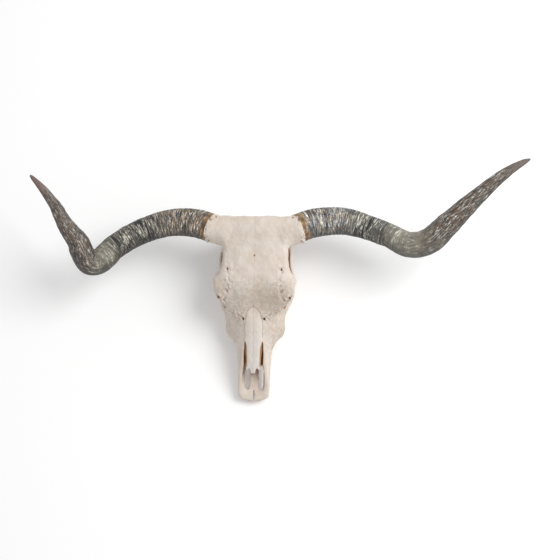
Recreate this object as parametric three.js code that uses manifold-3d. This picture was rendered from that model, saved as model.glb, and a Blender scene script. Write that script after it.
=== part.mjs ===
// Skull of a longhorn steer with both horn sheaths, without the lower jaw, lying as it rests on a floor:
// on its cheek teeth and on the two bony processes beside the occiput, forehead up.
//
// It is modelled in the skull's own frame, in millimetres: x across, towards the animal's left, y from the
// muzzle tip back to the poll, z up from the plane of the forehead. The last section tips it on to its
// resting plane.
import * as THREE from "three";
import { mergeVertices } from "three/addons/utils/BufferGeometryUtils.js";
import Module from "manifold-3d";

const wasm = await Module();
wasm.setup();

// ---- Driving dimensions ----
const SEAM_GAP = 0.4; // clear width of a suture between two bones
const HORN_GAP = 0.3; // between a horn sheath and the bony core's rim
const POLL_Y = 520; // length from the muzzle tip to the poll
const REST_DEPTH = 64; // the resting plane's depth under the muzzle tip
const REST_SLOPE = 0.3; // and how much deeper it lies for each millimetre towards the poll
const FAR = 400; // reaches past the skull on any side
const ROOF_DEPTH = 48; // depth of the hidden joint under the frontal bones

const CORE_RADIUS = 41.6; // of the bony rim under a horn's first ring
const HORN_SIDES = 12;
const HORN_STEPS = 32;

// Horns: centre line and radius from the core's rim to the tip, [x, y, z, radius]. They differ, as grown.
const HORNS = {
  left: [
    [122, 488, -42, 41.8], [147.8, 498.4, -51.5, 42.1], [176.8, 505.8, -60, 41.8], [248.1, 509.9, -67, 39.8],
    [308.1, 495.1, -60, 36.4], [375.5, 469.8, -39, 34.5], [434.6, 442.9, -10, 36.3], [484.5, 452.2, 12, 37.1],
    [537.3, 501.6, 28, 33.3], [605.2, 567.5, 40, 24.6], [687.7, 639.3, 47, 15.3], [737.5, 669.8, 48, 7.9],
    [754.8, 677.9, 48, 2.5],
  ],
  right: [
    [-127, 486, -42, 41.6], [-153.9, 495.4, -50, 41.9], [-185.3, 501.5, -57, 41.5], [-250.4, 500.5, -64, 39.5],
    [-328, 474, -50, 36.7], [-398.8, 427.5, -14, 35.8], [-437.4, 388, 8, 36.5], [-461.9, 382.2, 19, 35],
    [-476.8, 402.4, 26, 34.4], [-491.4, 438.6, 36, 31.1], [-522.8, 484.7, 48, 23.8], [-551.7, 539.1, 58, 17.1],
    [-583, 582.2, 64, 11.7], [-612.6, 614.9, 68, 5.8], [-620.4, 623.1, 69, 2.5],
  ],
};

const ORBIT = { at: [103, 322, -51], radius: 30, rim: 6.5, yaw: 0.08, roll: -0.1 };

// ---- Solids from three.js geometry ----
const SIDES = { 1: "left", [-1]: "right" }; // the animal's own left lies along +x

function solidOf(geometry) {
  geometry.deleteAttribute("normal");
  geometry.deleteAttribute("uv");
  const merged = mergeVertices(geometry, 1e-3);
  return new wasm.Manifold(
    new wasm.Mesh({
      numProp: 3,
      vertProperties: merged.attributes.position.array,
      triVerts: new Uint32Array(merged.index.array),
    }),
  );
}

function geometryOf(solid) {
  const mesh = solid.getMesh();
  return new THREE.BufferGeometry()
    .setAttribute("position", new THREE.BufferAttribute(mesh.vertProperties, 3))
    .setIndex(new THREE.BufferAttribute(mesh.triVerts, 1));
}

const join = (...solids) => solids.flat(2).reduce((all, next) => all.add(next));
const bothSides = (make) => [make(1), make(-1)];

// A row is y, the top's z, then x, z pairs down one side, then the bottom's z.
function ringOf(row) {
  const side = [];
  for (let k = 2; k < row.length - 1; k += 2) side.push([row[k], row[k + 1]]);
  const left = side.map(([x, z]) => [-x, z]).reverse();
  const points = [[0, row[1]], ...side, [0, row.at(-1)], ...left];
  const corners = points.map(([x, z]) => new THREE.Vector3(x, row[0], z));
  return new THREE.CatmullRomCurve3(corners, true);
}

// A closed body through the rings of a table, symmetrical about x = 0. lean slides a ring's points in y
// by their height, for an end face that isn't upright.
function loft(rows, { perSpan = 1, lean = 0 } = {}) {
  const steps = rows.length - 1;
  const spans = rows[0].length - 1;
  const geometry = new THREE.CylinderGeometry(1, 1, 1, spans * perSpan, steps);
  const position = geometry.attributes.position;
  for (let i = 0; i < position.count; i++) {
    const ring = ringOf(rows[Math.round((position.getY(i) + 0.5) * steps)]);
    const turn = Math.atan2(position.getX(i), position.getZ(i)) / (2 * Math.PI);
    const rim = ring.getPoint((turn + 1) % 1);
    const centre = ring.getPoint(0).add(ring.getPoint(0.5)).multiplyScalar(0.5);
    const reach = Math.min(Math.hypot(position.getX(i), position.getZ(i)), 1);
    const point = centre.lerp(rim, reach);
    position.setXYZ(i, point.x, point.y + lean * point.z, point.z);
  }
  return solidOf(geometry);
}

// A closed tube along points [x, y, z, across, upright]: an ellipse of those two radii at each.
function sweep(points, { sides = 10, steps = 3 * points.length, up = [0, 0, 1] } = {}) {
  const curve = new THREE.CatmullRomCurve3(points.map(([x, y, z]) => new THREE.Vector3(x, y, z)));
  const radii = new THREE.CatmullRomCurve3(
    points.map(([, , , across, upright = across]) => new THREE.Vector3(across, upright, 0)),
  );
  const geometry = new THREE.CylinderGeometry(1, 1, 1, sides, steps);
  const position = geometry.attributes.position;
  const upright = new THREE.Vector3(...up);
  for (let i = 0; i < position.count; i++) {
    const t = THREE.MathUtils.clamp(position.getY(i) + 0.5, 0, 1);
    const tangent = curve.getTangent(t);
    const across = new THREE.Vector3().crossVectors(tangent, upright).normalize();
    const above = new THREE.Vector3().crossVectors(across, tangent);
    const radius = radii.getPoint(t);
    const point = curve
      .getPoint(t)
      .addScaledVector(across, position.getX(i) * radius.x)
      .addScaledVector(above, position.getZ(i) * radius.y);
    position.setXYZ(i, point.x, point.y, point.z);
  }
  return solidOf(geometry);
}

function ellipsoid([x, y, z], [rx, ry, rz], segments = 10) {
  const geometry = new THREE.SphereGeometry(1, segments, Math.round(segments * 0.7));
  return solidOf(geometry.scale(rx, ry, rz).translate(x, y, z));
}

// The outline pushed outwards by a distance at each corner.
function grown(outline, by) {
  const points = outline.map(([u, v]) => new THREE.Vector2(u, v));
  const turn = Math.sign(THREE.ShapeUtils.area(points));
  return points.map((point, i) => {
    const before = points.at(i - 1);
    const after = points[(i + 1) % points.length];
    const into = point.clone().sub(before).normalize();
    const out = after.clone().sub(point).normalize();
    const normalIn = new THREE.Vector2(into.y, -into.x).multiplyScalar(turn);
    const normalOut = new THREE.Vector2(out.y, -out.x).multiplyScalar(turn);
    const mitre = normalIn.clone().add(normalOut);
    return point.clone().addScaledVector(mitre, by / Math.max(1 + normalIn.dot(normalOut), 0.3));
  });
}

function extrude(outline, [from, to], by) {
  const shape = new THREE.Shape(grown(outline, by));
  const depth = to - from + 2 * by;
  const geometry = new THREE.ExtrudeGeometry(shape, { depth, bevelEnabled: false });
  return geometry.translate(0, 0, from - by);
}

// A prism on an outline of [x, y], between two heights. side -1 mirrors it.
function planPrism(outline, heights, by = 0, side = 1) {
  const turned = outline.map(([x, y]) => [x * side, y]);
  return solidOf(extrude(turned, heights, by));
}

// A prism on an outline of [y, z], between two distances out on one side.
function sidePrism(outline, [near, far], by = 0, side = 1) {
  const range = side > 0 ? [near, far] : [-far, -near];
  const geometry = extrude(outline, range, by);
  const axes = new THREE.Matrix4().makeBasis(
    new THREE.Vector3(0, 1, 0),
    new THREE.Vector3(0, 0, 1),
    new THREE.Vector3(1, 0, 0),
  );
  return solidOf(geometry.applyMatrix4(axes));
}

const restZ = (y) => -REST_DEPTH - REST_SLOPE * y;

// ---- Face: the shell round the nasal cavity, from the muzzle tip to the orbits ----
// y, top z, roof edge, upper flank, facial crest, alveolar edge, palate edge, palate z
const FACE = [
  [-4, -37, 9, -37, 17, -39, 25, -43, 20, -49, 9, -50, -50],
  [7, -33, 22, -33, 35, -36, 40, -43, 34, -50, 18, -52, -52],
  [22, -28, 24, -29, 39, -35, 43.5, -44, 38, -52, 22, -54, -54],
  [45, -18, 27, -24, 40, -32, 44.5, -45, 39, -56, 24, -59, -58],
  [80, -10, 29, -17, 41, -28, 45.5, -47, 42, -63, 26, -68, -66],
  [115, -5, 29, -12, 42, -27, 47, -50, 43, -71, 28, -76, -73],
  [143, -3, 28, -9, 44, -25, 50, -54, 48, -80, 32, -84, -80],
  [160, -3, 28, -9, 48, -27, 60, -60, 55, -87, 35, -90, -84],
  [185, -3, 28, -9, 53, -29, 76, -67, 62, -94, 38, -97, -89],
  [203, -3, 28, -9, 56, -30, 82, -70, 66, -99, 40, -102, -93],
  [220, -3, 30, -9, 58, -28, 80, -67, 67, -105, 41, -107, -97],
  [241, -3, 36, -9, 62, -26, 82, -62, 68, -111, 42, -113, -101],
  [265, -3, 50, -10, 78, -25, 94, -58, 70, -118, 43, -121, -106],
  [300, -3, 70, -10, 92, -25, 101, -60, 66, -128, 42, -131, -112],
  [330, -3, 80, -10, 90, -30, 84, -72, 52, -124, 36, -132, -116],
];

// y, top z, under the roof edge, widest, floor edge, floor z
const NASAL_CAVITY = [
  [26, -33, 24, -34, 29, -36, 22, -40, -41],
  [45, -23, 26, -27, 31.5, -31, 26, -44, -47],
  [80, -15, 25, -19, 31, -27, 27, -54, -58],
  [115, -10, 24, -15, 30, -27, 30, -60, -65],
  [148, -8, 23, -13, 38, -32, 32, -70, -74],
  [175, -8, 24, -13, 46, -40, 36, -76, -80],
  [202, -8, 24, -14, 56, -50, 38, -82, -86],
  [235, -14, 22, -20, 48, -50, 34, -84, -88],
  [250, -30, 15, -34, 25, -50, 20, -70, -75],
];

// Above this line, ahead of the roof's end, the snout's side walls stop. [y, z]
const APERTURE = [
  [-30, -40], [25, -37], [60, -29], [100, -19], [140, -11], [153, -8], [153, 40], [-30, 40],
];

// One nasal bone from above, with its two-pointed tip. [x, y]
const NASAL_BONE = [
  [0.2, 266], [8, 262], [20, 245], [25.5, 215], [25, 180], [24, 148], [21.5, 110],
  [19.5, 90], [16.5, 84], [12, 91], [8.5, 88], [5.5, 78], [1.5, 77], [0.2, 80],
];

// The opening beside the muzzle's middle bar, right through the palate. [x, y]
const PALATE_FISSURE = [
  [12.3, 30], [18, 27], [25, 32], [28, 52], [26, 80], [21, 96], [15, 92], [12.3, 70],
];
const MUZZLE_CLEFT = [
  [0, -12], [2.4, -12], [2.6, 6], [4, 20], [3.6, 34], [1.4, 50], [0, 54],
];

const TUBER_FACIALE = [73, 204, -72];

function faceShell() {
  const bumps = bothSides((side) => {
    const [x, y, z] = TUBER_FACIALE;
    return ellipsoid([side * x, y, z], [9, 26, 16], 8);
  });
  return join(loft(FACE), bumps).subtract(loft(NASAL_CAVITY));
}

// ---- Cheek teeth, three premolars and three molars on each side ----
const TEETH = { lengths: [14, 18, 19, 25, 28, 29], widths: [15, 18, 19, 22, 23, 21], startY: 161 };

function toothRow(side) {
  let y = TEETH.startY;
  return TEETH.lengths.map((length, i) => {
    const middle = y + length / 2;
    const width = TEETH.widths[i];
    const crown = new THREE.CylinderGeometry(0.71 * 0.86, 0.71, 1, 8, 1, false, Math.PI / 8);
    crown.rotateX(-Math.PI / 2).scale(width, length - 1, 44);
    y += length;
    const x = side * (48 + 0.055 * (middle - TEETH.startY));
    return solidOf(crown.translate(x, middle, restZ(middle) + 20));
  });
}

// ---- Cranium ----
// y, top z, mid forehead, shoulder, orbit rim or temple edge, underside edge, inner underside, bottom z
const FRONTAL_ROOF = [
  [232, -4, 20, -5, 38, -11, 46, -18, 40, -28, 22, -40, -44],
  [250, -3, 28, -4, 50, -10, 61, -18, 52, -30, 30, -44, -48],
  [265, -2, 38, -3, 66, -9, 79, -19, 68, -32, 40, -48, -54],
  [282, -1, 46, -2, 84, -8, 98, -18, 86, -31, 44, -50, -58],
  [302, 0, 52, -1, 98, -8, 111, -19, 98, -29, 48, -50, -60],
  [320, 1, 56, 0, 106, -9, 118.5, -21, 104, -30, 50, -50, -60],
  [337, 1, 58, 0, 108, -10, 120.5, -24, 105, -34, 50, -50, -60],
  [352, 1, 55, 0, 100, -9, 112, -27, 98, -38, 50, -50, -60],
  [366, 0, 52, -1, 92, -8, 102, -24, 90, -36, 50, -50, -60],
  [382, 0, 50, -1, 87, -8, 97, -21, 85, -32, 50, -50, -60],
  [404, -1, 48, -2, 85, -8, 94, -20, 82, -32, 50, -50, -60],
  [428, -2, 47, -3, 84, -8, 93.5, -22, 82, -36, 50, -52, -60],
  [452, -2, 50, -3, 90, -9, 100, -28, 88, -44, 52, -56, -62],
  [482, -1, 54, -2, 96, -8, 107, -32, 94, -54, 54, -62, -66],
  [505, -4, 54, -6, 96, -12, 106, -34, 92, -58, 54, -66, -70],
  [516, -11, 52, -13, 90, -19, 100, -36, 86, -56, 50, -66, -70],
  [POLL_Y, -22, 50, -23, 82, -28, 90, -38, 78, -52, 46, -62, -64],
];

// y, top z, upper side, widest, lower side, base z
const BRAINCASE = [
  [290, -40, 50, -46, 60, -72, 38, -110, -114],
  [330, -40, 42, -46, 47, -72, 34, -112, -122],
  [370, -30, 48, -40, 55, -74, 38, -116, -136],
  [410, -30, 56, -40, 64, -76, 44, -122, -148],
  [450, -30, 72, -40, 80, -72, 54, -126, -156],
  [480, -28, 86, -38, 93, -60, 62, -126, -158],
  [504, -30, 87, -38, 92, -58, 60, -124, -154],
  [519, -40, 70, -46, 80, -62, 48, -114, -138],
];
const NUCHAL_LEAN = 0.14; // the back of the skull slopes in by this much towards the base

// The bony knob a horn stands on: level inside the skull, then facing the way the horn sets off.
function hornCore(side) {
  const [start, next] = HORNS[SIDES[side]].map(([x, y, z]) => new THREE.Vector3(x, y, z));
  const along = next.sub(start).normalize();
  const at = (back, radius, sink = 0) => {
    const [x, y, z] = start.clone().addScaledVector(along, -back);
    return [x, y, z - sink, radius];
  };
  const core = [at(56, 38, 20), at(28, 40, 7), at(10, 41), at(0, CORE_RADIUS)];
  return sweep(core, { sides: HORN_SIDES, steps: 3 });
}

// The cheek bone under the eye and the arch behind it, back to the ear.
const ZYGOMATIC_ARCH = [
  [64, 234, -74, 8, 9], [89, 264, -83, 8, 13], [101, 289, -89, 7.5, 13], [106, 322, -91, 6.5, 10],
  [105, 352, -88, 5.5, 9], [98, 388, -85, 5.5, 8], [94, 422, -86, 5, 9], [80, 450, -94, 9, 14],
];
const EAR_ROOT = { at: [74, 458, -98], size: [20, 20, 30] };
const EAR_TUBE = [[42, 436, -138, 13], [68, 450, -122, 12], [91, 463, -114, 8]];
const BULLA = { at: [40, 430, -146], size: [13, 19, 30] };
const CONDYLE = { at: [27, 492, -148], size: [19, 22, 23] };
const PARACONDYLAR = [
  [66, 474, -112, 12, 21], [64, 467, -150, 10, 18], [60, 461, -182, 8, 13], [55, 458, -214, 6, 8],
];
const SKULL_BASE = [
  [0, 490, -158, 24, 9], [0, 440, -160, 22, 10], [0, 390, -142, 15, 9], [0, 345, -108, 13, 10],
];
const CHOANAE = [[0, 386, -172, 13, 16], [0, 340, -138, 15, 17], [0, 300, -99, 16, 12], [0, 268, -92, 13, 7]];
const PALATINE_WING = [
  [34, 292, -118, 4, 12], [29, 320, -132, 3.5, 18], [24, 352, -144, 3.2, 17], [21, 382, -152, 3, 9],
];
const mirrored = (points, side) => points.map(([x, ...rest]) => [side * x, ...rest]);
const mirroredAt = ({ at: [x, y, z], size }, side) => ellipsoid([side * x, y, z], size);

function orbitRim(side) {
  const { at, radius, rim, yaw, roll } = ORBIT;
  const ring = new THREE.TorusGeometry(radius + rim * 0.6, rim, 5, 14).rotateY(Math.PI / 2);
  ring.rotateZ(-yaw).rotateY(-roll).translate(...at);
  const solid = solidOf(ring);
  return side > 0 ? solid : solid.mirror([1, 0, 0]);
}

function craniumSide(side) {
  return join(
    hornCore(side),
    orbitRim(side),
    sweep(mirrored(ZYGOMATIC_ARCH, side), { sides: 7, steps: 10 }),
    mirroredAt(EAR_ROOT, side),
    sweep(mirrored(EAR_TUBE, side), { sides: 8, steps: 3 }),
    mirroredAt(BULLA, side),
    mirroredAt(CONDYLE, side),
    sweep(mirrored(PARACONDYLAR, side), { sides: 7, steps: 5, up: [0, 1, 0] }),
    sweep(mirrored(PALATINE_WING, side), { sides: 6, steps: 5 }),
    toothRow(side),
  );
}

// ---- Hollows ----
function orbitHollow(side) {
  const { at: [x, y, z], radius } = ORBIT;
  const axis = [
    [x + 46, y - 4, z - 5, radius + 5], [x, y, z, radius], [x - 28, y + 5, z, radius - 3],
    [x - 50, y + 10, z - 2, 14],
  ];
  return sweep(mirrored(axis, side), { sides: 12, steps: 5 });
}

const SMALL_HOLES = [ // [x, y, radius] of the foramina that show on the face
  [77, 368, 3.4], [29, 230, 2.4],
];

function smallHoles(side) {
  return SMALL_HOLES.map(([x, y, radius]) => {
    const drill = new THREE.CylinderGeometry(radius, radius * 0.6, 24, 8).rotateX(Math.PI / 2);
    return solidOf(drill.translate(side * x, y, -10));
  });
}

function hollows() {
  const foramenMagnum = sweep([[0, 540, -132, 17, 14], [0, 446, -132, 15, 13]], { steps: 2 });
  return join(
    foramenMagnum,
    sweep(CHOANAE, { sides: 8, steps: 5, up: [0, 1, 0] }),
    bothSides(orbitHollow),
    bothSides(smallHoles),
    bothSides((side) => planPrism(PALATE_FISSURE, [-90, -20], 0, side)),
    bothSides((side) => planPrism(MUZZLE_CLEFT, [-90, 0], 0.05, side)),
  );
}

// Everything under the resting plane, so that the teeth and the processes end in small flats on it.
function underRest() {
  const outline = [
    [-50, restZ(-50)], [FAR * 2, restZ(FAR * 2)], [FAR * 2, -2 * FAR], [-50, -2 * FAR],
  ];
  return sidePrism(outline, [-FAR, FAR]);
}

// ---- Bones: each is what lies in its own region, in this order ----
const half = SEAM_GAP / 2;
const REGIONS = {
  frontal: (by, side) =>
    join(
      planPrism(
        [[half, 640], [FAR, 640], [FAR, 318], [112, 300], [101, 289], [83, 265], [60, 246], [28, 231],
          [half, 231]],
        [-ROOF_DEPTH, 60], by, side,
      ),
      planPrism([[93, 640], [FAR, 640], [FAR, 425], [93, 425]], [-75, 60], by, side),
      planPrism([[93, 640], [FAR, 640], [FAR, 457], [93, 457]], [-110, 60], by, side),
    ),
  lacrimal: (by, side) =>
    sidePrism([[224, 20], [330, 20], [306, -64], [262, -56], [224, -30]], [22, FAR], by, side),
  zygomatic: (by, side) =>
    sidePrism(
      [[252, -56], [308, -64], [330, 0], [398, 0], [386, -130], [302, -118], [256, -100]],
      [64, FAR], by, side,
    ),
  temporal: (by, side) =>
    join(
      sidePrism([[386, -40], [462, -40], [484, -132], [386, -132]], [66, FAR], by, side),
      sidePrism([[404, -112], [452, -112], [452, -190], [404, -190]], [27, 66.2], by, side),
    ),
  premaxilla: (by, side) =>
    sidePrism([[-30, 40], [172, 40], [164, -8], [62, -100], [-30, -100]], [half, FAR], by, side),
  maxilla: (by, side) =>
    join(
      sidePrism([[40, 40], [254, 40], [254, -140], [40, -140]], [half, FAR], by, side),
      sidePrism([[253, -96], [303, -100], [303, -170], [253, -150]], [36, FAR], by, side),
    ),
  palatine: (by, side) =>
    sidePrism([[250, -98], [306, -104], [306, -170], [250, -150]], [half, 40], by, side),
  pterygoid: (by, side) =>
    sidePrism([[304, -116], [392, -138], [392, -180], [304, -180]], [14, 46], by, side),
};
const OCCIPITAL = [[452, -10], [560, -10], [560, -230], [425, -230], [425, -142], [452, -130]];

// The region's one bone, without crumbs of its neighbours.
function largest(solid) {
  return solid.decompose().reduce((best, body) => (body.volume() > best.volume() ? body : best));
}

function bones() {
  const shell = faceShell();
  const found = {};
  let snout = shell;
  for (const side of [1, -1]) {
    const name = `nasal_${SIDES[side]}`;
    found[name] = largest(shell.intersect(planPrism(NASAL_BONE, [-30, 40], 0, side)));
    snout = snout.subtract(planPrism(NASAL_BONE, [-30, 40], SEAM_GAP, side));
  }
  snout = snout.subtract(sidePrism(APERTURE, [-FAR, FAR]));
  const roof = loft(FRONTAL_ROOF).subtract(
    join(bothSides((side) => planPrism(NASAL_BONE, [-30, 40], SEAM_GAP, side))),
  );
  const braincase = loft(BRAINCASE, { lean: NUCHAL_LEAN });
  const base = sweep(SKULL_BASE, { steps: 5 });
  let rest = join(snout, roof, braincase, base, bothSides(craniumSide))
    .subtract(hollows())
    .subtract(underRest());
  for (const [bone, region] of Object.entries(REGIONS)) {
    for (const side of [1, -1]) {
      const name = `${bone}_${SIDES[side]}`;
      found[name] = largest(rest.intersect(region(0, side)));
      rest = rest.subtract(region(SEAM_GAP, side));
    }
  }
  found.occipital = largest(rest.intersect(sidePrism(OCCIPITAL, [-FAR, FAR])));
  rest = rest.subtract(sidePrism(OCCIPITAL, [-FAR, FAR], SEAM_GAP));
  found.sphenoid = largest(rest);
  return found;
}

// ---- Horn sheaths ----
function hornSheath(line) {
  const start = new THREE.Vector3(...line[0]);
  const along = new THREE.Vector3(...line[1]).sub(start).setLength(HORN_GAP);
  const first = [start.x + along.x, start.y + along.y, start.z + along.z, line[0][3]];
  return sweep([first, ...line.slice(1)], { sides: HORN_SIDES, steps: HORN_STEPS });
}

// ---- The object ----
const MATERIALS = {
  bone: new THREE.MeshStandardMaterial({ color: 0xd6cabd, roughness: 0.72, metalness: 0 }),
  horn: new THREE.MeshStandardMaterial({ color: 0x77736b, roughness: 0.55, metalness: 0 }),
};

function buildSkull() {
  const skull = new THREE.Group();
  const add = (name, solid, material) => {
    const mesh = new THREE.Mesh(geometryOf(solid), material.clone());
    mesh.name = name;
    skull.add(mesh);
  };
  for (const [name, solid] of Object.entries(bones())) add(name, solid, MATERIALS.bone);
  for (const [side, line] of Object.entries(HORNS)) {
    add(`horn_${side}`, hornSheath(line), MATERIALS.horn);
  }
  // Tip the resting plane level, then stand the footprint's centre on the origin.
  skull.rotation.x = Math.atan(REST_SLOPE);
  skull.updateMatrixWorld(true);
  const box = new THREE.Box3().setFromObject(skull, true);
  const centre = box.getCenter(new THREE.Vector3());
  skull.position.set(-centre.x, -centre.y, REST_DEPTH * Math.cos(skull.rotation.x));
  return skull;
}

const part = new THREE.Group();
part.add(buildSkull());
export default part;
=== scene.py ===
# Skull of a longhorn steer with both horn sheaths, lying forehead up on a pale floor.
# The bones are carved as one volume of signed distances and parted along their sutures.
# The horn sheaths and the rows of cheek teeth are Geometry Nodes.
# Shapes are worked out in the skull's own millimetres: x across to the animal's left,
# y from the muzzle back to the poll, z up from the forehead. toRow() stands it on the floor.
import math

import bpy
import numpy as np
import openvdb
from mathutils import Matrix, Vector


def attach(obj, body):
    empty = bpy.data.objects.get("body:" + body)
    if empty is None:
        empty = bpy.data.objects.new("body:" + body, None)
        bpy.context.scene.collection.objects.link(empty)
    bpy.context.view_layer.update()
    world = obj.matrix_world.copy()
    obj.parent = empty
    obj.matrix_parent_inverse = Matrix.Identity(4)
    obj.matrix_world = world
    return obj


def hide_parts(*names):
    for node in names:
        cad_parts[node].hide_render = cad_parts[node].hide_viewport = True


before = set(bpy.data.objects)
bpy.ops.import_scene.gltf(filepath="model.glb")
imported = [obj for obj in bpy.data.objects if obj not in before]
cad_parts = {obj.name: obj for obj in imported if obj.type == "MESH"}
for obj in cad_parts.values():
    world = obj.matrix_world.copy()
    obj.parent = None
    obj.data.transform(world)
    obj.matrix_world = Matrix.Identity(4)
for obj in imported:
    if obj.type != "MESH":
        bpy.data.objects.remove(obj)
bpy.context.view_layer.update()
sides = {1: "left", -1: "right"}
print("frame loaded:", len(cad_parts), "nodes")

# ---- How the skull stands in the part's frame ----
stand = {"slope": 0.3, "depth": 64.0, "shiftX": -66.824, "shiftY": -322.505}  # mm
tilt = math.atan(stand["slope"])


def toRow(points):
    p = np.asarray(points, float).reshape(-1, 3)
    c, s = math.cos(tilt), math.sin(tilt)
    y = p[:, 1] * c - p[:, 2] * s + stand["shiftY"]
    z = p[:, 1] * s + p[:, 2] * c + stand["depth"] * c
    return np.column_stack([p[:, 0] + stand["shiftX"], y, z]) / 1000


# ---- Camera, floor and light ----
view = {  # mm, with the turns in radians; nothing past clipEnd metres is seen
    "target": (72.54, 340.23, 0.0), "distance": 3000.0, "swing": 0.05, "roll": 0.01152,
    "lens": 68.88, "clipEnd": 50.0,
}  # fmt: skip
light = {"from": (0.80, 0.22, 1.0), "distance": 5.0, "size": 3.4, "power": 168.0, "sky": 0.6}
floorLook = {"size": 30.0, "colour": "FCFCFC", "roughness": 0.9, "glow": 0.06}


def addObject(name, data):
    made = bpy.data.objects.new(name, data)
    bpy.context.scene.collection.objects.link(made)
    return made


def linear(hexColour):
    parts = [int(hexColour[i : i + 2], 16) / 255 for i in (0, 2, 4)]
    return [c / 12.92 if c <= 0.04045 else ((c + 0.055) / 1.055) ** 2.4 for c in parts] + [1.0]


def feed(node, given):
    # each entry is a link from another node's socket, a colour ramp's stops, an input's value or a setting
    for name, value in given.items():
        if isinstance(value, bpy.types.NodeSocket):
            node.id_data.links.new(value, node.inputs[name])
        elif name == "stops":
            first, last = node.color_ramp.elements
            first.position, first.color = value[0][0], linear(value[0][1])
            last.position, last.color = value[-1][0], linear(value[-1][1])
            for at, colour in value[1:-1]:
                node.color_ramp.elements.new(at).color = linear(colour)
        elif isinstance(name, int) or (name in node.inputs and not hasattr(node, name)):
            node.inputs[name].default_value = value
        else:
            setattr(node, name, value)


def addNode(tree, kind, given=None, out=0):
    # hands back one of the new node's outputs, or the node itself
    node = tree.nodes.new(kind)
    feed(node, given or {})
    return node if out is None else node.outputs[out]


def newMaterial(name):
    made = bpy.data.materials.new(name)
    made.use_nodes = True
    return made, made.node_tree, made.node_tree.nodes["Principled BSDF"]


def makeCamera():
    swing, roll = view["swing"], view["roll"]
    across = Vector((math.cos(swing), 0, -math.sin(swing)))
    upright = Vector((0, 1, 0))
    right = across * math.cos(roll) + upright * math.sin(roll)
    up = upright * math.cos(roll) - across * math.sin(roll)
    back = right.cross(up)
    place = toRow([Vector(view["target"]) + back * view["distance"]])[0]
    turn = Matrix.Rotation(tilt, 3, "X") @ Matrix((right, up, back)).transposed()
    camera = addObject("camera", bpy.data.cameras.new("camera"))
    camera.data.lens = view["lens"]
    camera.data.clip_end = view["clipEnd"]
    camera.matrix_world = Matrix.Translation(place) @ turn.to_4x4()
    bpy.context.scene.camera = camera


def makeStage():
    lamp = bpy.data.lights.new("keyLight", "AREA")
    lamp.size, lamp.energy, lamp.shape = light["size"], light["power"], "DISK"
    key = addObject("keyLight", lamp)
    aim = Vector(light["from"]).normalized()
    key.location = aim * light["distance"]
    key.rotation_euler = aim.to_track_quat("Z", "Y").to_euler()
    world = bpy.data.worlds.new("studio")
    world.use_nodes = True
    feed(world.node_tree.nodes["Background"], {"Strength": light["sky"], "Color": (1, 1, 1, 1)})
    bpy.context.scene.world = world
    half = floorLook["size"] / 2
    mesh = bpy.data.meshes.new("floor")
    corners = [(-half, -half, 0), (half, -half, 0), (half, half, 0), (-half, half, 0)]
    mesh.from_pydata(corners, [], [(0, 1, 2, 3)])
    # matt white board, lit a little from behind
    board, _, shader = newMaterial("matt_white_board")
    colour = linear(floorLook["colour"])
    feed(shader, {"Base Color": colour, "Roughness": floorLook["roughness"]})
    feed(shader, {"Emission Color": colour, "Emission Strength": floorLook["glow"]})
    mesh.materials.append(board)
    floor = addObject("floor", mesh)
    bpy.context.scene.view_settings.view_transform = "Standard"


makeCamera()
makeStage()
print("camera and studio ready")

# ---- The carving block: the animal's left half as distances from the surface, mirrored later ----
block = {  # mm; it starts a few voxels past the middle line
    "voxel": 1.25, "across": 148, "pastMiddle": 3,
    "y": (-14, 534), "z": (-212, 10), "outside": 40,
}  # fmt: skip
voxel = block["voxel"]
gridX = (np.arange(int(block["across"] / voxel)) - block["pastMiddle"]).astype(np.float32) * np.float32(voxel)
gridY = np.arange(block["y"][0], block["y"][1], voxel, dtype=np.float32)
gridZ = np.arange(block["z"][0], block["z"][1], voxel, dtype=np.float32)
axes = (gridX, gridY, gridZ)
everywhere = tuple(slice(0, len(a)) for a in axes)
plan = (gridX[:, None], gridY[None, :])
profile = (gridY[:, None], gridZ[None, :])
skull = np.full([len(a) for a in axes], block["outside"], np.float32)
stain = np.zeros_like(skull)  # where grease and dirt stay: hollows, seams, holes


def boxAround(low, high):
    return tuple(
        slice(max(int(np.searchsorted(a, start)) - 1, 0), min(int(np.searchsorted(a, end)) + 1, len(a)))
        for a, start, end in zip(axes, low, high)
    )


def coordinates(box):
    return gridX[box[0], None, None], gridY[None, box[1], None], gridZ[None, None, box[2]]


def offsetsFrom(centre, box):
    return [g - c for g, c in zip(coordinates(box), centre)]


def project(offsets, direction):
    # how far offsets reach in a direction
    return sum(d * np.float32(part) for d, part in zip(offsets, direction))


def blendMin(a, b, soft):
    near = np.maximum(soft - np.abs(a - b), 0) / np.float32(soft)
    return np.minimum(a, b) - near * near * np.float32(soft / 4)


def blendMax(a, b, soft):
    return -blendMin(-a, -b, soft)


def join(shape, soft):
    box, distance = shape
    skull[box] = blendMin(skull[box], distance, soft)


def cut(shape, soft, tint=0.0, reach=2.5):
    box, distance = shape
    skull[box] = blendMax(skull[box], -distance, soft)
    if tint:
        darken(box, tint * np.clip(1 - distance / reach, 0, 1))


def darken(box, amount):
    stain[box] = np.maximum(stain[box], amount)


def bell(distance, width):
    return np.exp(-((distance / width) ** 2))


def hermite(t, start, leaving, end, arriving, span=1):
    # a cubic between two values with the slopes given at both
    return (
        (2 * t**3 - 3 * t**2 + 1) * start
        + (t**3 - 2 * t**2 + t) * span * leaving
        + (3 * t**2 - 2 * t**3) * end
        + (t**3 - t**2) * span * arriving
    )


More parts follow.
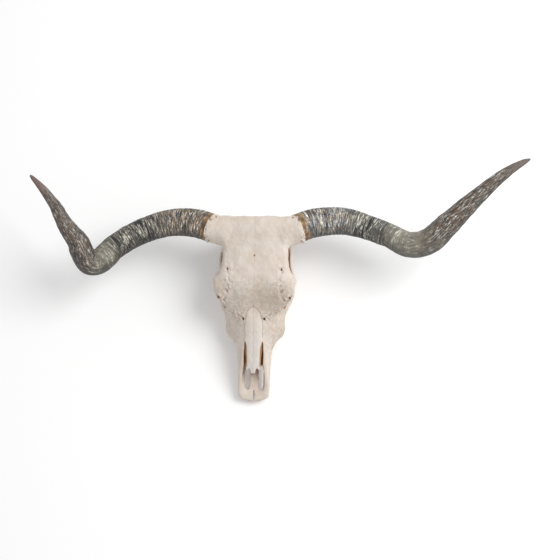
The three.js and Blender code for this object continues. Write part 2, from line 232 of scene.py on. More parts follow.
def smoothRows(rows, at):
    # values between a table's rows, by their first column, without overshoot
    y = rows[:, 0]
    gap = np.diff(y)[:, None]
    rise = np.diff(rows, axis=0) / gap
    slope = np.vstack([rise[:1], np.zeros_like(rise[1:]), rise[-1:]])
    product = rise[:-1] * rise[1:]
    before, after = 2 * gap[1:] + gap[:-1], gap[1:] + 2 * gap[:-1]
    with np.errstate(divide="ignore", invalid="ignore"):
        mean = (before + after) / (before / rise[:-1] + after / rise[1:])
    slope[1:-1] = np.where(product > 0, mean, 0)
    at = np.clip(at, y[0], y[-1])
    k = np.clip(np.searchsorted(y, at, side="right") - 1, 0, len(y) - 2)
    t = ((at - y[k]) / gap[k, 0])[:, None]
    return hermite(t, rows[k], slope[k], rows[k + 1], slope[k + 1], gap[k])


def knotGap(a, b):
    # centripetal spacing: the square root of the distance
    return np.maximum(np.linalg.norm(b - a, axis=-1, keepdims=True) ** 0.5, 1e-4)


def curveThrough(points, steps):
    # centripetal Catmull-Rom through points given as (..., count, size), the ends only steering it
    p0, p1, p2, p3 = points[..., :-3, :], points[..., 1:-2, :], points[..., 2:-1, :], points[..., 3:, :]
    d0, d1, d2 = knotGap(p0, p1), knotGap(p1, p2), knotGap(p2, p3)
    m1 = ((p1 - p0) / d0 - (p2 - p0) / (d0 + d1) + (p2 - p1) / d1) * d1
    m2 = ((p2 - p1) / d1 - (p3 - p1) / (d1 + d2) + (p3 - p2) / d2) * d1
    made = np.stack([hermite(t, p1, m1, p2, m2) for t in np.arange(steps) / steps], axis=-2)
    return made.reshape(*made.shape[:-3], -1, made.shape[-1])


def withEnds(points):
    # adds a point past each end, in line with the last two, to steer a curve
    return np.vstack([2 * points[:1] - points[1:2], points, 2 * points[-1:] - points[-2:-1]])


def loft(rows, capSoft=6.0, lean=0.0):
    # A body through sections across the skull. A row is y, the top's z, x and z pairs, the bottom's z.
    rows = np.asarray(rows, float)
    widest = np.max(rows[:, 2:-1:2])
    low = (-9, rows[0, 0] - 12, rows[:, 1:].min() - 12)
    high = (widest + 14, rows[-1, 0] + 12, rows[:, 1].max() + 10)
    box = boxAround(low, high)
    x, y, z = coordinates(box)
    at = smoothRows(rows, y.ravel().astype(float))
    # each section as a closed curve, mirrored past its top and bottom so that it crosses the middle flat
    side = at[:, 2:-1].reshape(len(at), -1, 2)
    middle = np.zeros(len(at))
    top, bottom = np.stack([middle, at[:, 1]], 1)[:, None], np.stack([middle, at[:, -1]], 1)[:, None]
    flip = np.array([-1, 1])
    ring = np.concatenate([side[:, :1] * flip, top, side, bottom, side[:, -1:] * flip], axis=1)
    line = curveThrough(ring, 12)
    # the same as a radius for each turn from straight up to straight down
    centre = (at[:, 1] + at[:, -1]) / 2
    over = line[..., 1] - centre[:, None]
    turn = np.maximum.accumulate(np.clip(np.arctan2(line[..., 0], over), 0, np.pi), axis=1)
    radius = np.hypot(line[..., 0], over)
    turns = np.linspace(0, np.pi, 241)
    table = np.stack([np.interp(turns, a + np.arange(len(a)) * 1e-7, r) for a, r in zip(turn, radius)])
    around = np.gradient(table, turns, axis=1) / table
    along = np.gradient(table, voxel, axis=0)
    steep = 1 / np.sqrt(1 + around**2 + along**2)
    distance = np.empty([s.stop - s.start for s in box], np.float32)
    for j in range(distance.shape[1]):
        up = (z[0, 0] - centre[j])[None, :]
        angle, reach = np.arctan2(np.abs(x[:, 0]), up), np.hypot(x[:, 0], up)
        distance[:, j] = (reach - np.interp(angle, turns, table[j])) * np.interp(angle, turns, steep[j])
    distance = blendMax(distance, rows[0, 0] - y, capSoft)
    distance = blendMax(distance, y - lean * z - rows[-1, 0], capSoft)
    return box, distance


def oval(centre, radii, pad=16):
    # signed distance to an ellipsoid, good near its surface
    low = [c - r - pad for c, r in zip(centre, radii)]
    high = [c + r + pad for c, r in zip(centre, radii)]
    box = boxAround(low, high)
    offsets = offsetsFrom(centre, box)
    near = sum((d / r) ** 2 for d, r in zip(offsets, radii)) ** 0.5
    slope = sum((d / r**2) ** 2 for d, r in zip(offsets, radii)) ** 0.5
    return box, (near * (near - 1) / np.maximum(slope, 1e-4)).astype(np.float32)


def tube(points, up=(0, 0, 1), steps=6, reach=12.0):
    # an oval tube along points of x, y, z, half width, half height; round at its ends
    points = np.array([list(p) + [p[3]] * (5 - len(p)) for p in points], float)
    line = np.vstack([curveThrough(withEnds(points), steps), points[-1:]])
    margin = line[:, 3:].max(1)[:, None] + reach
    box = boxAround((line[:, :3] - margin).min(0), (line[:, :3] + margin).max(0))
    whole = np.full([s.stop - s.start for s in box], block["outside"], np.float32)
    for a, b in zip(line[:-1], line[1:]):
        along = b[:3] - a[:3]
        length = np.linalg.norm(along)
        along /= length
        across = np.cross(along, up)
        across /= np.linalg.norm(across)
        pad = max(a[3:].max(), b[3:].max()) + reach
        part = boxAround(np.minimum(a[:3], b[:3]) - pad, np.maximum(a[:3], b[:3]) + pad)
        inner = tuple(slice(max(p.start - q.start, 0), max(p.stop - q.start, 0)) for p, q in zip(part, box))
        part = tuple(slice(i.start + q.start, min(i.stop + q.start, q.stop)) for i, q in zip(inner, box))
        offsets = offsetsFrom(a[:3], part)
        s = project(offsets, along)
        t = np.clip(s / length, 0, 1)
        over = s - t * length
        wide, tall = a[3] + t * (b[3] - a[3]), a[4] + t * (b[4] - a[4])
        u, v = project(offsets, across), project(offsets, np.cross(across, along))
        least = np.minimum(wide, tall)
        near = np.sqrt((u / wide) ** 2 + (v / tall) ** 2 + (over / least) ** 2)
        slope = np.sqrt((u / wide**2) ** 2 + (v / tall**2) ** 2 + (over / least**2) ** 2)
        whole[inner] = np.minimum(whole[inner], near * (near - 1) / np.maximum(slope, 1e-4))
    return box, whole


def squaredFrom(path, u, v):
    # squared distance from a line of points in two coordinates
    best = np.float32(1e9)
    for (a, b), (c, d) in zip(path[:-1], path[1:]):
        e, f = c - a, d - b
        t = np.clip(((u - a) * e + (v - b) * f) / (e * e + f * f), 0, 1)
        best = np.minimum(best, (u - a - e * t) ** 2 + (v - b - f * t) ** 2)
    return best


def outlineDistance(outline, u, v):
    # signed distance from a closed outline in two coordinates, negative inside
    closed = outline + outline[:1]
    distance, inside = np.sqrt(squaredFrom(closed, u, v)), False
    for (a, b), (c, d) in zip(closed[:-1], closed[1:]):
        if d != b:
            inside = inside ^ (((b > v) != (d > v)) & (u < (c - a) * (v - b) / (d - b) + a))
    return np.where(inside, -distance, distance).astype(np.float32)


def prism(outline, low, high):
    # an outline in plan between two heights
    _, _, z = coordinates(everywhere)
    distance = outlineDistance(outline, *plan)[:, :, None]
    return everywhere, np.maximum(np.maximum(distance, low - z), z - high)


def weave(axis, spacing, low, high):
    # cubic spline weights that spread a row of lattice values smoothly along an axis
    count = int((high - low) / spacing) + 5
    place = (axis.astype(float) - low) / spacing + 1
    k = np.floor(place).astype(int)
    t = place - k
    weights = np.zeros((len(axis), count), np.float32)
    second, third = (3 * t**3 - 6 * t**2 + 4) / 6, (-3 * t**3 + 3 * t**2 + 3 * t + 1) / 6
    parts = ((1 - t) ** 3 / 6, second, third, t**3 / 6)
    for offset, part in zip((-1, 0, 1, 2), parts):
        weights[np.arange(len(axis)), np.clip(k + offset, 0, count - 1)] += part
    return weights


def unevenness(spacing, seed, box=everywhere):
    # smooth random field with lumps of a given size in mm; tripled, because the weave evens it out
    webs = [weave(a[c], spacing, float(a[0]), float(a[-1])) for a, c in zip(axes, box)]
    field = np.random.default_rng(seed).standard_normal([w.shape[1] for w in webs]).astype(np.float32)
    for web in webs:
        field = np.tensordot(field, web, ([0], [1]))
    return field * np.float32(3)


def waver(axisU, axisV, spacing, seed):
    # the same in two coordinates
    webU = weave(axisU, spacing, float(axisU[0]), float(axisU[-1]))
    webV = weave(axisV, spacing, float(axisV[0]), float(axisV[-1]))
    field = np.random.default_rng(seed).standard_normal((webU.shape[1], webV.shape[1])).astype(np.float32)
    return (webU @ field @ webV.T) * np.float32(2.1)


def restPlane(y):
    # the floor's height under a point of the skull
    return -stand["depth"] - stand["slope"] * y


# ---- Face ----
# y, top z, roof edge, upper flank, facial crest, alveolar edge, palate edge, palate z
faceRows = [
    [-4, -37, 9, -37, 17, -39, 25, -43, 20, -49, 9, -50, -50],
    [7, -33, 22, -33, 35, -36, 40, -43, 34, -50, 18, -52, -52],
    [22, -28, 24, -29, 39, -35, 43.5, -44, 38, -52, 22, -54, -54],
    [45, -18, 27, -24, 40, -32, 44.5, -45, 39, -56, 24, -59, -58],
    [80, -10, 29, -17, 41, -28, 45.5, -47, 42, -63, 26, -68, -66],
    [115, -5, 29, -12, 42, -27, 47, -50, 43, -71, 28, -76, -73],
    [143, -3, 28, -9, 44, -25, 50, -54, 48, -80, 32, -84, -80],
    [160, -3, 28, -9, 48, -27, 60, -60, 55, -87, 35, -90, -84],
    [185, -3, 28, -9, 53, -29, 76, -67, 62, -94, 38, -97, -89],
    [203, -3, 28, -9, 56, -30, 82, -70, 66, -99, 40, -102, -93],
    [220, -3, 30, -9, 58, -28, 80, -67, 67, -105, 41, -107, -97],
    [241, -3, 36, -9, 62, -26, 82, -62, 68, -111, 42, -113, -101],
    [265, -3, 50, -10, 78, -25, 94, -58, 70, -118, 43, -121, -106],
    [300, -3, 70, -10, 92, -25, 101, -60, 66, -128, 42, -131, -112],
    [330, -3, 80, -10, 90, -30, 84, -72, 52, -124, 36, -132, -116],
]
# y, top z, under the roof edge, widest, floor edge, floor z
noseHollow = [
    [8, -35.5, 9, -35.7, 12, -36.2, 8, -36.6, -36.8],
    [16, -34, 19, -34.5, 24, -36, 16, -38.4, -38.6],
    [26, -33, 24, -34, 29, -36, 22, -40, -41],
    [45, -23, 26, -27, 31.5, -31, 26, -44, -47],
    [80, -15, 25, -19, 31, -27, 27, -54, -58],
    [115, -10, 24, -15, 30, -27, 30, -60, -65],
    [148, -8, 23, -13, 38, -32, 32, -70, -74],
    [175, -8, 24, -13, 46, -40, 36, -76, -80],
    [202, -8, 24, -14, 56, -50, 38, -82, -86],
    [235, -14, 22, -20, 48, -50, 34, -84, -88],
    [250, -30, 15, -34, 25, -50, 20, -70, -75],
]
# where the side walls of the snout stop, ahead of the nasal bones' sockets, as y, z
noseOpening = [(-30, -40), (25, -37), (60, -29), (100, -19), (140, -11), (153, -8), (153, 60), (-30, 60)]
# one nasal bone from above with its two-pointed tip, x, y
nasalOutline = [
    (-6, 266), (8, 262), (20, 245), (25.5, 215), (25, 180), (24, 148), (21.5, 110),
    (19.5, 90), (16.5, 84), (12, 91), (8.5, 88), (5.5, 78), (1.5, 77), (-6, 80),
]  # fmt: skip
palateSlit = [(12.3, 30), (18, 27), (25, 32), (28, 52), (26, 80), (21, 96), (15, 92), (12.3, 70)]
muzzleCleft = [(-3.2, -12), (3.2, -12), (3.0, 6), (2.3, 16), (0.3, 26), (-0.3, 26), (-2.3, 16)]
nasalSlot = [(18, 96), (26.9, 96), (26.8, 122), (25.8, 144), (24.9, 158), (24.2, 165), (20, 150)]
# the scroll inside the nose
concha = [(28, 98, -29, 2.5), (28.5, 110, -24, 5), (29, 130, -20, 6), (29, 165, -19, 7), (28, 200, -26, 9)]


def makeFace():
    # returns the volume as it is before the nose is opened, which the nasal bones are cut from
    join(loft(faceRows, capSoft=9), 1)
    join(oval((73, 204, -72), (9, 26, 16)), 14)  # facial tuber
    join(tube([(76, 216, -70, 5), (84, 240, -68, 5), (92, 262, -66, 5)]), 9)  # facial crest
    cut(loft(noseHollow, capSoft=3), 1.5, tint=0.62, reach=2.2)
    nasal = skull.copy()
    join(tube(concha), 3)
    cut((everywhere, outlineDistance(noseOpening, *profile)[None]), 2.0)
    return nasal


nasalVolume = makeFace()
print("face carved")

# ---- Cranium ----
# y, top z, mid forehead, shoulder, orbit rim or temple edge, underside edge, inner underside, bottom z
roofRows = [
    [232, -4, 20, -5, 38, -11, 46, -18, 40, -28, 22, -40, -44],
    [250, -3, 28, -4, 50, -10, 61, -18, 52, -30, 30, -44, -48],
    [265, -2, 38, -3, 66, -9, 79, -19, 68, -32, 40, -48, -54],
    [282, -1, 46, -2, 84, -8, 98, -18, 86, -31, 44, -50, -58],
    [302, 0, 52, -1, 98, -8, 111, -19, 98, -29, 48, -50, -60],
    [320, 1, 56, 0, 106, -9, 118.5, -21, 104, -30, 50, -50, -60],
    [337, 1, 58, 0, 108, -10, 120.5, -24, 105, -34, 50, -50, -60],
    [352, 1, 55, 0, 100, -9, 112, -27, 98, -38, 50, -50, -60],
    [366, 0, 52, -1, 92, -8, 102, -24, 90, -36, 50, -50, -60],
    [382, 0, 50, -1, 87, -8, 97, -21, 85, -32, 50, -50, -60],
    [404, -1, 48, -2, 85, -8, 94, -20, 82, -32, 50, -50, -60],
    [428, -2, 47, -3, 84, -8, 93.5, -22, 82, -36, 50, -52, -60],
    [452, -2, 50, -3, 90, -9, 100, -28, 88, -44, 52, -56, -62],
    [482, -1, 54, -2, 96, -8, 107, -32, 94, -54, 54, -62, -66],
    [505, -4, 54, -6, 96, -12, 106, -34, 92, -58, 54, -66, -70],
    [516, -11, 52, -13, 90, -19, 100, -36, 86, -56, 50, -66, -70],
    [520, -22, 50, -23, 82, -28, 90, -38, 78, -52, 46, -62, -64],
]
# y, top z, upper side, widest, lower side, base z
braincaseRows = [
    [290, -40, 50, -46, 60, -72, 38, -110, -114],
    [330, -40, 42, -46, 47, -72, 34, -112, -122],
    [370, -30, 48, -40, 55, -74, 38, -116, -136],
    [410, -30, 56, -40, 64, -76, 44, -122, -148],
    [450, -30, 72, -40, 80, -72, 54, -126, -156],
    [480, -28, 86, -38, 93, -60, 62, -126, -158],
    [504, -30, 87, -38, 92, -58, 60, -124, -154],
    [519, -40, 70, -46, 80, -62, 48, -114, -138],
]
orbit = {"at": (103, 322, -51), "radius": 30.0, "rim": 6.5, "yaw": 0.08, "roll": -0.1}
boss = {  # core under a horn: distance ahead of its rim, radius, how far it sinks
    "box": ((40, 430, -96), (144, 534, 10)), "start": (124.5, 487, -42), "toward": (26.3, 9.9, -8.8),
    "core": [(-56, 38, 20), (-28, 40, 7), (-10, 41, 0), (0, 41.6, 0)],
}  # fmt: skip
arch = [
    (64, 234, -74, 8, 9), (89, 264, -83, 8, 13), (101, 289, -89, 7.5, 13), (106, 322, -91, 6.5, 10),
    (105, 352, -88, 5.5, 9), (101, 388, -85, 5.5, 8), (98, 420, -86, 5, 9), (82, 450, -94, 9, 14),
]  # fmt: skip
earTube = [(42, 436, -138, 13), (68, 450, -122, 12), (91, 463, -114, 8)]
paracondylar = [
    (66, 474, -112, 12, 21), (64, 467, -150, 10, 18), (60, 461, -182, 8, 13), (55, 458, -214, 6, 8),
]  # fmt: skip
skullBase = [(0, 490, -158, 24, 9), (0, 440, -160, 22, 10), (0, 390, -142, 15, 9), (0, 345, -108, 13, 10)]
throat = [(0, 386, -172, 13, 16), (0, 340, -138, 15, 17), (0, 300, -99, 16, 12), (0, 268, -92, 13, 7)]
palateWing = [
    (34, 292, -118, 4, 12), (29, 320, -132, 3.5, 18), (24, 352, -144, 3.2, 17), (21, 382, -152, 3, 9),
]  # fmt: skip


def hornBoss():
    # the bony knob under a horn's first ring: its box, its side without the flat end, the reach past that end
    along = np.array(boss["toward"], float)
    along /= np.linalg.norm(along)
    box = boxAround(*boss["box"])
    offsets = offsetsFrom(boss["start"], box)
    ahead = project(offsets, along)
    back, radius, sink = zip(*boss["core"])
    lower = np.interp(ahead, back, sink).astype(np.float32)
    offsets[2] = offsets[2] + lower
    ring = np.sqrt(np.maximum(sum(d**2 for d in offsets) - (ahead + lower * along[2]) ** 2, 0))
    side = ring - np.interp(ahead, back, radius).astype(np.float32)
    return box, blendMax(side, back[0] - ahead, 10).astype(np.float32), ahead.astype(np.float32)


def eyeRim():
    x, y, z = orbit["at"]
    reach = orbit["radius"] + 2 * orbit["rim"] + 12
    box = boxAround((x - 30, y - reach, z - reach), (x + 30, y + reach, z + reach))
    offsets = offsetsFrom(orbit["at"], box)
    turn = Matrix.Rotation(-orbit["roll"], 3, "Y") @ Matrix.Rotation(-orbit["yaw"], 3, "Z")
    w = project(offsets, turn @ Vector((1, 0, 0)))
    ring = np.sqrt(np.maximum(sum(d**2 for d in offsets) - w**2, 0)) - (orbit["radius"] + 0.6 * orbit["rim"])
    return box, np.sqrt(ring**2 + w**2) - np.float32(orbit["rim"])


def makeCranium():
    join(loft(roofRows, capSoft=8), 9)
    join(loft(braincaseRows, capSoft=14, lean=0.14), 14)
    box, side, ahead = hornBoss()
    join((box, np.maximum(side, ahead - 6)), 17)
    join(eyeRim(), 6)
    join(tube(arch), 6)
    join(oval((74, 458, -98), (20, 20, 30)), 9)  # ear root
    join(tube(earTube), 5)
    join(oval((40, 430, -146), (13, 19, 30)), 5)  # tympanic bulla
    join(oval((27, 492, -148), (19, 22, 23)), 5)  # occipital condyle
    join(tube(paracondylar, up=(0, 1, 0)), 8)
    join(tube(skullBase), 8)
    join(tube(palateWing), 4)
    join(oval((0, 503, -62), (13, 12, 26)), 16)  # occipital protuberance
    join(tube([(88, 500, -76, 7), (90, 486, -98, 7), (82, 474, -118, 7)]), 12)  # nuchal line


def makeHollows():
    x, y, z = orbit["at"]
    r = orbit["radius"]
    outer, inner = (x + 46, y - 4, z - 5, r + 5), (x - 28, y + 5, z, r - 3)
    socket = [outer, (x, y, z, r), inner, (x - 50, y + 10, z - 2, 14)]
    cut(tube(socket, steps=4), 3, tint=0.35, reach=2)
    cut(tube(throat, up=(0, 1, 0)), 3, tint=0.7)
    cut(tube([(0, 540, -132, 17, 14), (0, 446, -132, 15, 13)]), 3, tint=0.25)  # foramen magnum
    cut(prism(palateSlit, -90, -20), 2, tint=0.55, reach=2)
    cut(prism(muzzleCleft, -90, 0), 1.5, tint=0.15, reach=1.5)
    cut(prism(nasalSlot, -32, 6), 1.0, tint=0.6, reach=2)


def makeStains():
    # the temple hollow is brown, the muzzle is bleached but for its tip, and for its bars, which get brown
    # painted shade
    x, y, z = coordinates(everywhere)
    darken(everywhere, 0.55 * bell(y - 400, 30) * np.clip((-28 - z) / 12, 0, 1) * ((x > 50) & (x < 100)))
    stain[:] *= np.clip((y - 66) / 40, 0.12, 1)
    # painted shade, brown, on the middle bars where they pass under the nasal tips
    barShade = bell(y - 82, 16) * (x < 12) * (z < -22)
    tip = np.clip((8 - y) / 12, 0, 1) * np.clip((-36 - z) / 6, 0, 1)
    darken(everywhere, 0.3 * barShade + 0.22 * tip)


makeCranium()
makeHollows()
makeStains()
print("cranium carved")

# ---- Small forms: foramina, grooves, temple ridges, seams of the forehead ----
smallHoles = [  # x, y, radius, how deep, how dark
    (76.3, 369, 1.8, 16, 0.5), (29, 229.8, 1.7, 10, 0.9), (101.5, 289.5, 2.8, 14, 0.6),
    (0.6, 409, 1.1, 5, 0.45), (71, 344, 0.9, 3, 0.3), (78, 296, 0.9, 3, 0.3),
]  # fmt: skip
sideHoles = [  # middle, radii, how dark
    ((46, 152, -48), (8, 9, 5), 0.9), ((88, 262, -40), (10, 5, 4), 0.6), ((34, 476, -150), (8, 4, 4), 0.6),
]  # fmt: skip
foreheadLines = [  # line in plan, width, depth
    ([(76.3, 368), (73, 345), (73, 318), (78, 295), (86, 280)], 3.4, 1.5),  # groove ahead of the eye hole
    ([(76.3, 371), (79, 395), (84, 425), (92, 452)], 4.5, 0.8),
    ([(92, 366), (88, 382), (86, 404), (85, 428), (90, 450)], 5.0, -0.8),  # temple ridge
    ([(0, 268), (0, 515)], 1.3, 0.12),  # seam between the frontals
    ([(0, 300), (0, 500)], 14, 0.7),
    ([(0, 470), (0, 512)], 26, -1.6),  # low rise under the poll
    ([(0, 80), (0, 264)], 3.2, 1.0),  # valley between the nasals
    ([(0, 30), (0, 88)], 4.5, 1.8),  # trough between the two middle bars of the muzzle
    ([(9.6, 30), (10.2, 80)], 1.8, -0.9),
    ([(13, 110), (13, 240)], 6, -0.8),
    ([(31, 150), (33, 200), (30, 232)], 5, 0.9),
    ([(98, 298), (84, 268), (61, 249), (40, 236), (28, 231)], 7, -1.0),  # raised border of the forehead
]
furrowBetween = [(74.5, 357), (72.5, 332), (75.5, 307), (82, 288)]
lumps = {  # uneven surfaces: size of the lumps in mm, seed
    "collar": (3.4, 5), "collarDots": (5.2, 17), "collarBeads": (4.4, 23), "muzzle": (6, 8),
    "broad": (24, 1), "middling": (9, 2), "fine": (3.8, 3), "wrinkles": (3.2, 4), "folds": (6, 14),
    "nasal": (7, 11), "nasalFine": (3.5, 12),
}  # fmt: skip
topFrom = -46  # the skull's upper side is what lies above this height


def carve(path, width, depth, lowest=-34.0):
    # lowers the upper surface along a line in plan; a negative depth raises it
    best = squaredFrom(path, *plan)
    skull[:, :, gridZ > lowest] += (depth * np.exp(-best / width**2)).astype(np.float32)[:, :, None]


def drill(x, y, radius, deep, dark):
    # a small round hole from the surface down, a little wider at its mouth
    column = boxAround((x - 9, y - 9, topFrom), (x + 9, y + 9, 10))
    gx, gy, gz = coordinates(column)
    solid = skull[column] < 0
    highest = solid.shape[2] - 1 - np.argmax(solid[:, :, ::-1], axis=2)
    roof = np.where(solid.any(2), gridZ[column[2]][highest], -99)
    found = roof > topFrom - 4
    surface = float(np.median(roof[found])) if found.any() else -10.0
    across = np.hypot(gx - x, (gy - y) * 0.85) - radius * (1 + 0.02 * (gz - surface))
    cut((column, np.maximum(across, surface - deep - gz).astype(np.float32)), 1.6, tint=dark, reach=1.6)


def roughenEnds():
    # the pitted collar beside each horn and the rough end of the muzzle
    box, _, ahead = hornBoss()
    collar = bell(ahead + 7, 7.5)
    pits = unevenness(*lumps["collar"], box)
    skull[box] += collar * (0.75 * pits + 0.2)
    darken(box, collar * np.clip(pits - 1.1, 0, 1) * 0.35)
    dots = bell(ahead + 12, 1.6) * np.clip(unevenness(*lumps["collarDots"], box) - 0.5, 0, 1)
    skull[box] += dots * 2.0 - bell(ahead + 3, 3.0) * unevenness(*lumps["collarBeads"], box) * 1.5
    darken(box, np.clip(dots * 0.9, 0, 0.45))
    muzzle = boxAround((-4, -14, -60), (60, 40, -20))
    _, y, _ = coordinates(muzzle)
    skull[muzzle] += np.clip((40 - y) / 40, 0, 1) * 0.5 * unevenness(*lumps["muzzle"], muzzle)


def wrinkleBands():
    # beside the seam between forehead and tear bone, and along the groove from the eye hole
    x, y = plan
    beside = bell(outlineDistance(regions["frontal"][0][0], x, y), 10) * ((y < 300) & (x > 26))
    furrow = np.min([np.hypot(x - fx, y - fy) for fx, fy in foreheadLines[0][0] + furrowBetween], axis=0)
    wrinkle = np.maximum(beside, 0.9 * bell(furrow, 11))[:, :, None]
    lines = unevenness(*lumps["wrinkles"]) + 0.4 * unevenness(*lumps["folds"])
    top = (slice(None), slice(None), gridZ > topFrom)
    skull[top] += (wrinkle * lines)[top]
    darken(top, (wrinkle * np.clip(lines - 1.0, 0, 1) * 0.2)[top])


def makeSmallForms():
    for path, width, depth in foreheadLines:
        carve(path, width, depth)
    for hole in smallHoles:
        drill(*hole)
    for place, radii, dark in sideHoles:
        cut(oval(place, radii), 2, tint=dark, reach=2)
    roughenEnds()
    broad, middling, fine = (unevenness(*lumps[name]) for name in ("broad", "middling", "fine"))
    skull[:] += 0.55 * broad + 0.3 * middling + 0.16 * fine
    wrinkleBands()
    # the flats that it rests on
    _, y, z = coordinates(everywhere)
    skull[:] = np.maximum(skull, (restPlane(y) - z) / np.float32(math.hypot(1, stand["slope"])))


# ---- Bones: each is what lies in its own region, in this order, and the sphenoid is the rest ----
farOut = 400
regions = {  # plan outlines with a lowest height, and side outlines with a range in x
    "frontal": (
        [
            [
                (0, 640), (farOut, 640), (farOut, 318), (112, 300), (101, 289), (83, 265),
                (60, 246), (28, 231), (0, 231),
            ],  # fmt: skip
            [(93, 640), (farOut, 640), (farOut, 425), (93, 425)],
            [(93, 640), (farOut, 640), (farOut, 457), (93, 457)],
        ],
        [-48, -75, -110],
    ),
    "lacrimal": [([(224, 20), (330, 20), (306, -64), (262, -56), (224, -30)], 22, farOut)],
    "zygomatic": [
        ([(252, -56), (308, -64), (330, 0), (398, 0), (386, -130), (302, -118), (256, -100)], 64, farOut),
    ],
    "temporal": [
        ([(386, -40), (462, -40), (484, -132), (386, -132)], 66, farOut),
        ([(404, -112), (452, -112), (452, -190), (404, -190)], 27, 66.2),
    ],
    "premaxilla": [([(-30, 40), (172, 40), (164, -8), (62, -100), (-30, -100)], 0, farOut)],
    "maxilla": [
        ([(40, 40), (254, 40), (254, -140), (40, -140)], 0, farOut),
        ([(253, -96), (303, -100), (303, -170), (253, -150)], 36, farOut),
    ],
    "palatine": [([(250, -98), (306, -104), (306, -170), (250, -150)], 0, 40)],
    "pterygoid": [([(304, -116), (392, -138), (392, -180), (304, -180)], 14, 46)],
    "occipital": [
        ([(452, -10), (560, -10), (560, -230), (425, -230), (425, -142), (452, -130)], -40, farOut),
    ],
}
unpaired = ("occipital", "sphenoid")
seam = {  # mm; the first seed of the waves, and how dark a seam is
    "gap": 0.05, "wave": 1.5, "waveLength": 13, "ripple": 0.8, "rippleLength": 4.2, "groove": 0.08,
    "grooveWidth": 1.3, "seed": 100, "tint": 0.04, "browTint": 0.13, "tintWidth": 1.2,
}  # fmt: skip


def wavy(axisU, axisV, seed):
    wave = seam["wave"] * waver(axisU, axisV, seam["waveLength"], seed)
    return wave + seam["ripple"] * waver(axisU, axisV, seam["rippleLength"], seed + 1)


def regionDistance(name, seed):
    x, _, z = coordinates(everywhere)
    if name == "frontal":
        fade = np.clip((gridX[:, None] - 3) / 8, 0, 1)  # the middle seam stays straight enough to mirror
        u, v = plan[0] + fade * wavy(gridX, gridY, seed), plan[1] + wavy(gridX, gridY, seed + 2)
        floor = wavy(gridX, gridY, seed + 4)[:, :, None]
        parts = [
            np.maximum(outlineDistance(outline, u, v)[:, :, None], low + floor - z)
            for outline, low in zip(*regions[name])
        ]
    else:
        u, v = profile[0] + wavy(gridY, gridZ, seed), profile[1] + wavy(gridY, gridZ, seed + 2)
        edge = wavy(gridY, gridZ, seed + 4)[None]
        parts = []
        for outline, near, far in regions[name]:
            across = np.maximum(near + edge * (near > 1) - x, x - far + edge)
            parts.append(np.maximum(outlineDistance(outline, u, v)[None], across))
    return np.minimum.reduce(parts).astype(np.float32)


makeSmallForms()
print("small forms carved")


def blurred(field, width):
    reach = max(int(round(width / voxel / 2)), 1)
    for axis in range(3):
        pad = [(0, 0)] * 3
        pad[axis] = (reach + 1, reach)
        total = np.cumsum(np.pad(field, pad, mode="edge"), axis=axis, dtype=np.float64)
        count = field.shape[axis]
        above = [slice(None)] * 3
        below = [slice(None)] * 3
        above[axis], below[axis] = slice(2 * reach + 1, 2 * reach + 1 + count), slice(0, count)
        field = ((total[tuple(above)] - total[tuple(below)]) / (2 * reach + 1)).astype(np.float32)
    return field


def sample(field, points):
    # a field's value at points, between its voxels
    places = [np.clip((points[:, i] - axes[i][0]) / voxel, 0, len(axes[i]) - 1.001) for i in range(3)]
    k = [p.astype(int) for p in places]
    t = [p - i for p, i in zip(places, k)]
    total = 0
    for a in (0, 1):
        for b in (0, 1):
            for c in (0, 1):
                weight = (t[0] if a else 1 - t[0]) * (t[1] if b else 1 - t[1]) * (t[2] if c else 1 - t[2])
                total = total + weight * field[k[0] + a, k[1] + b, k[2] + c]
    return total


def largestPart(points, quads):
    # drops crumbs: keeps the faces of the biggest connected piece
    label = np.arange(len(points))
    pairs = np.vstack([quads[:, [0, 1]], quads[:, [1, 2]], quads[:, [2, 3]]])
    for _ in range(200):
        low = np.minimum(label[pairs[:, 0]], label[pairs[:, 1]])
        new = label.copy()
        np.minimum.at(new, pairs[:, 0], low)
        np.minimum.at(new, pairs[:, 1], low)
        new = new[new]
        if (new == label).all():
            break
        label = new
    counts = np.bincount(label[quads[:, 0]], minlength=len(points))
    keep = label[quads[:, 0]] == counts.argmax()
    quads = quads[keep]
    used, quads = np.unique(quads, return_inverse=True)
    return points[used], quads.reshape(-1, 4)


def folded(points):
    # carries points of the animal's right onto the carved left half
    return points * np.where(points[:, :1] < 0, [[-1, 1, 1]], [[1, 1, 1]])


def sharpened(points, outer, inner):
    # carries the corners cut off by the grid back to the edge where two surfaces meet
    onBlock = folded(points)
    a, b = sample(outer, onBlock), sample(inner, onBlock)
    near = np.flatnonzero((np.maximum(a, b) < -0.06 * voxel) & (np.minimum(a, b) > -voxel))
    at = onBlock[near].astype(float)
    for _ in range(3):
        for field in (outer, inner):
            steps = np.eye(3) * voxel / 2
            rise = [sample(field, at + step) - sample(field, at - step) for step in steps]
            slope = np.stack(rise, 1) / voxel
            at -= slope * (sample(field, at) / np.maximum((slope**2).sum(1), 0.1))[:, None]
    moved = at - onBlock[near]
    moved *= np.minimum(1, voxel / np.maximum(np.linalg.norm(moved, axis=1, keepdims=True), 1e-6))
    moved[:, 0] *= np.where(points[near, 0] < 0, -1, 1)
    points[near] += moved
    return points


def surfaceOf(volume, origin, cell, band):
    # the skin of a volume as quads, facing outwards
    held = openvdb.FloatGrid(band)
    held.copyFromArray(np.ascontiguousarray(np.clip(volume, -band, band), np.float32))
    points, _, quads = held.convertToPolygons(isovalue=0.0, adaptivity=0.0)
    points, quads = largestPart(points * cell + np.array(origin), quads)
    a, b, c, d = (points[quads[:, i]] for i in range(4))
    signed = np.einsum("ij,ij->i", a, np.cross(b, c)).sum() + np.einsum("ij,ij->i", a, np.cross(c, d)).sum()
    return points, quads[:, ::-1] if signed < 0 else quads


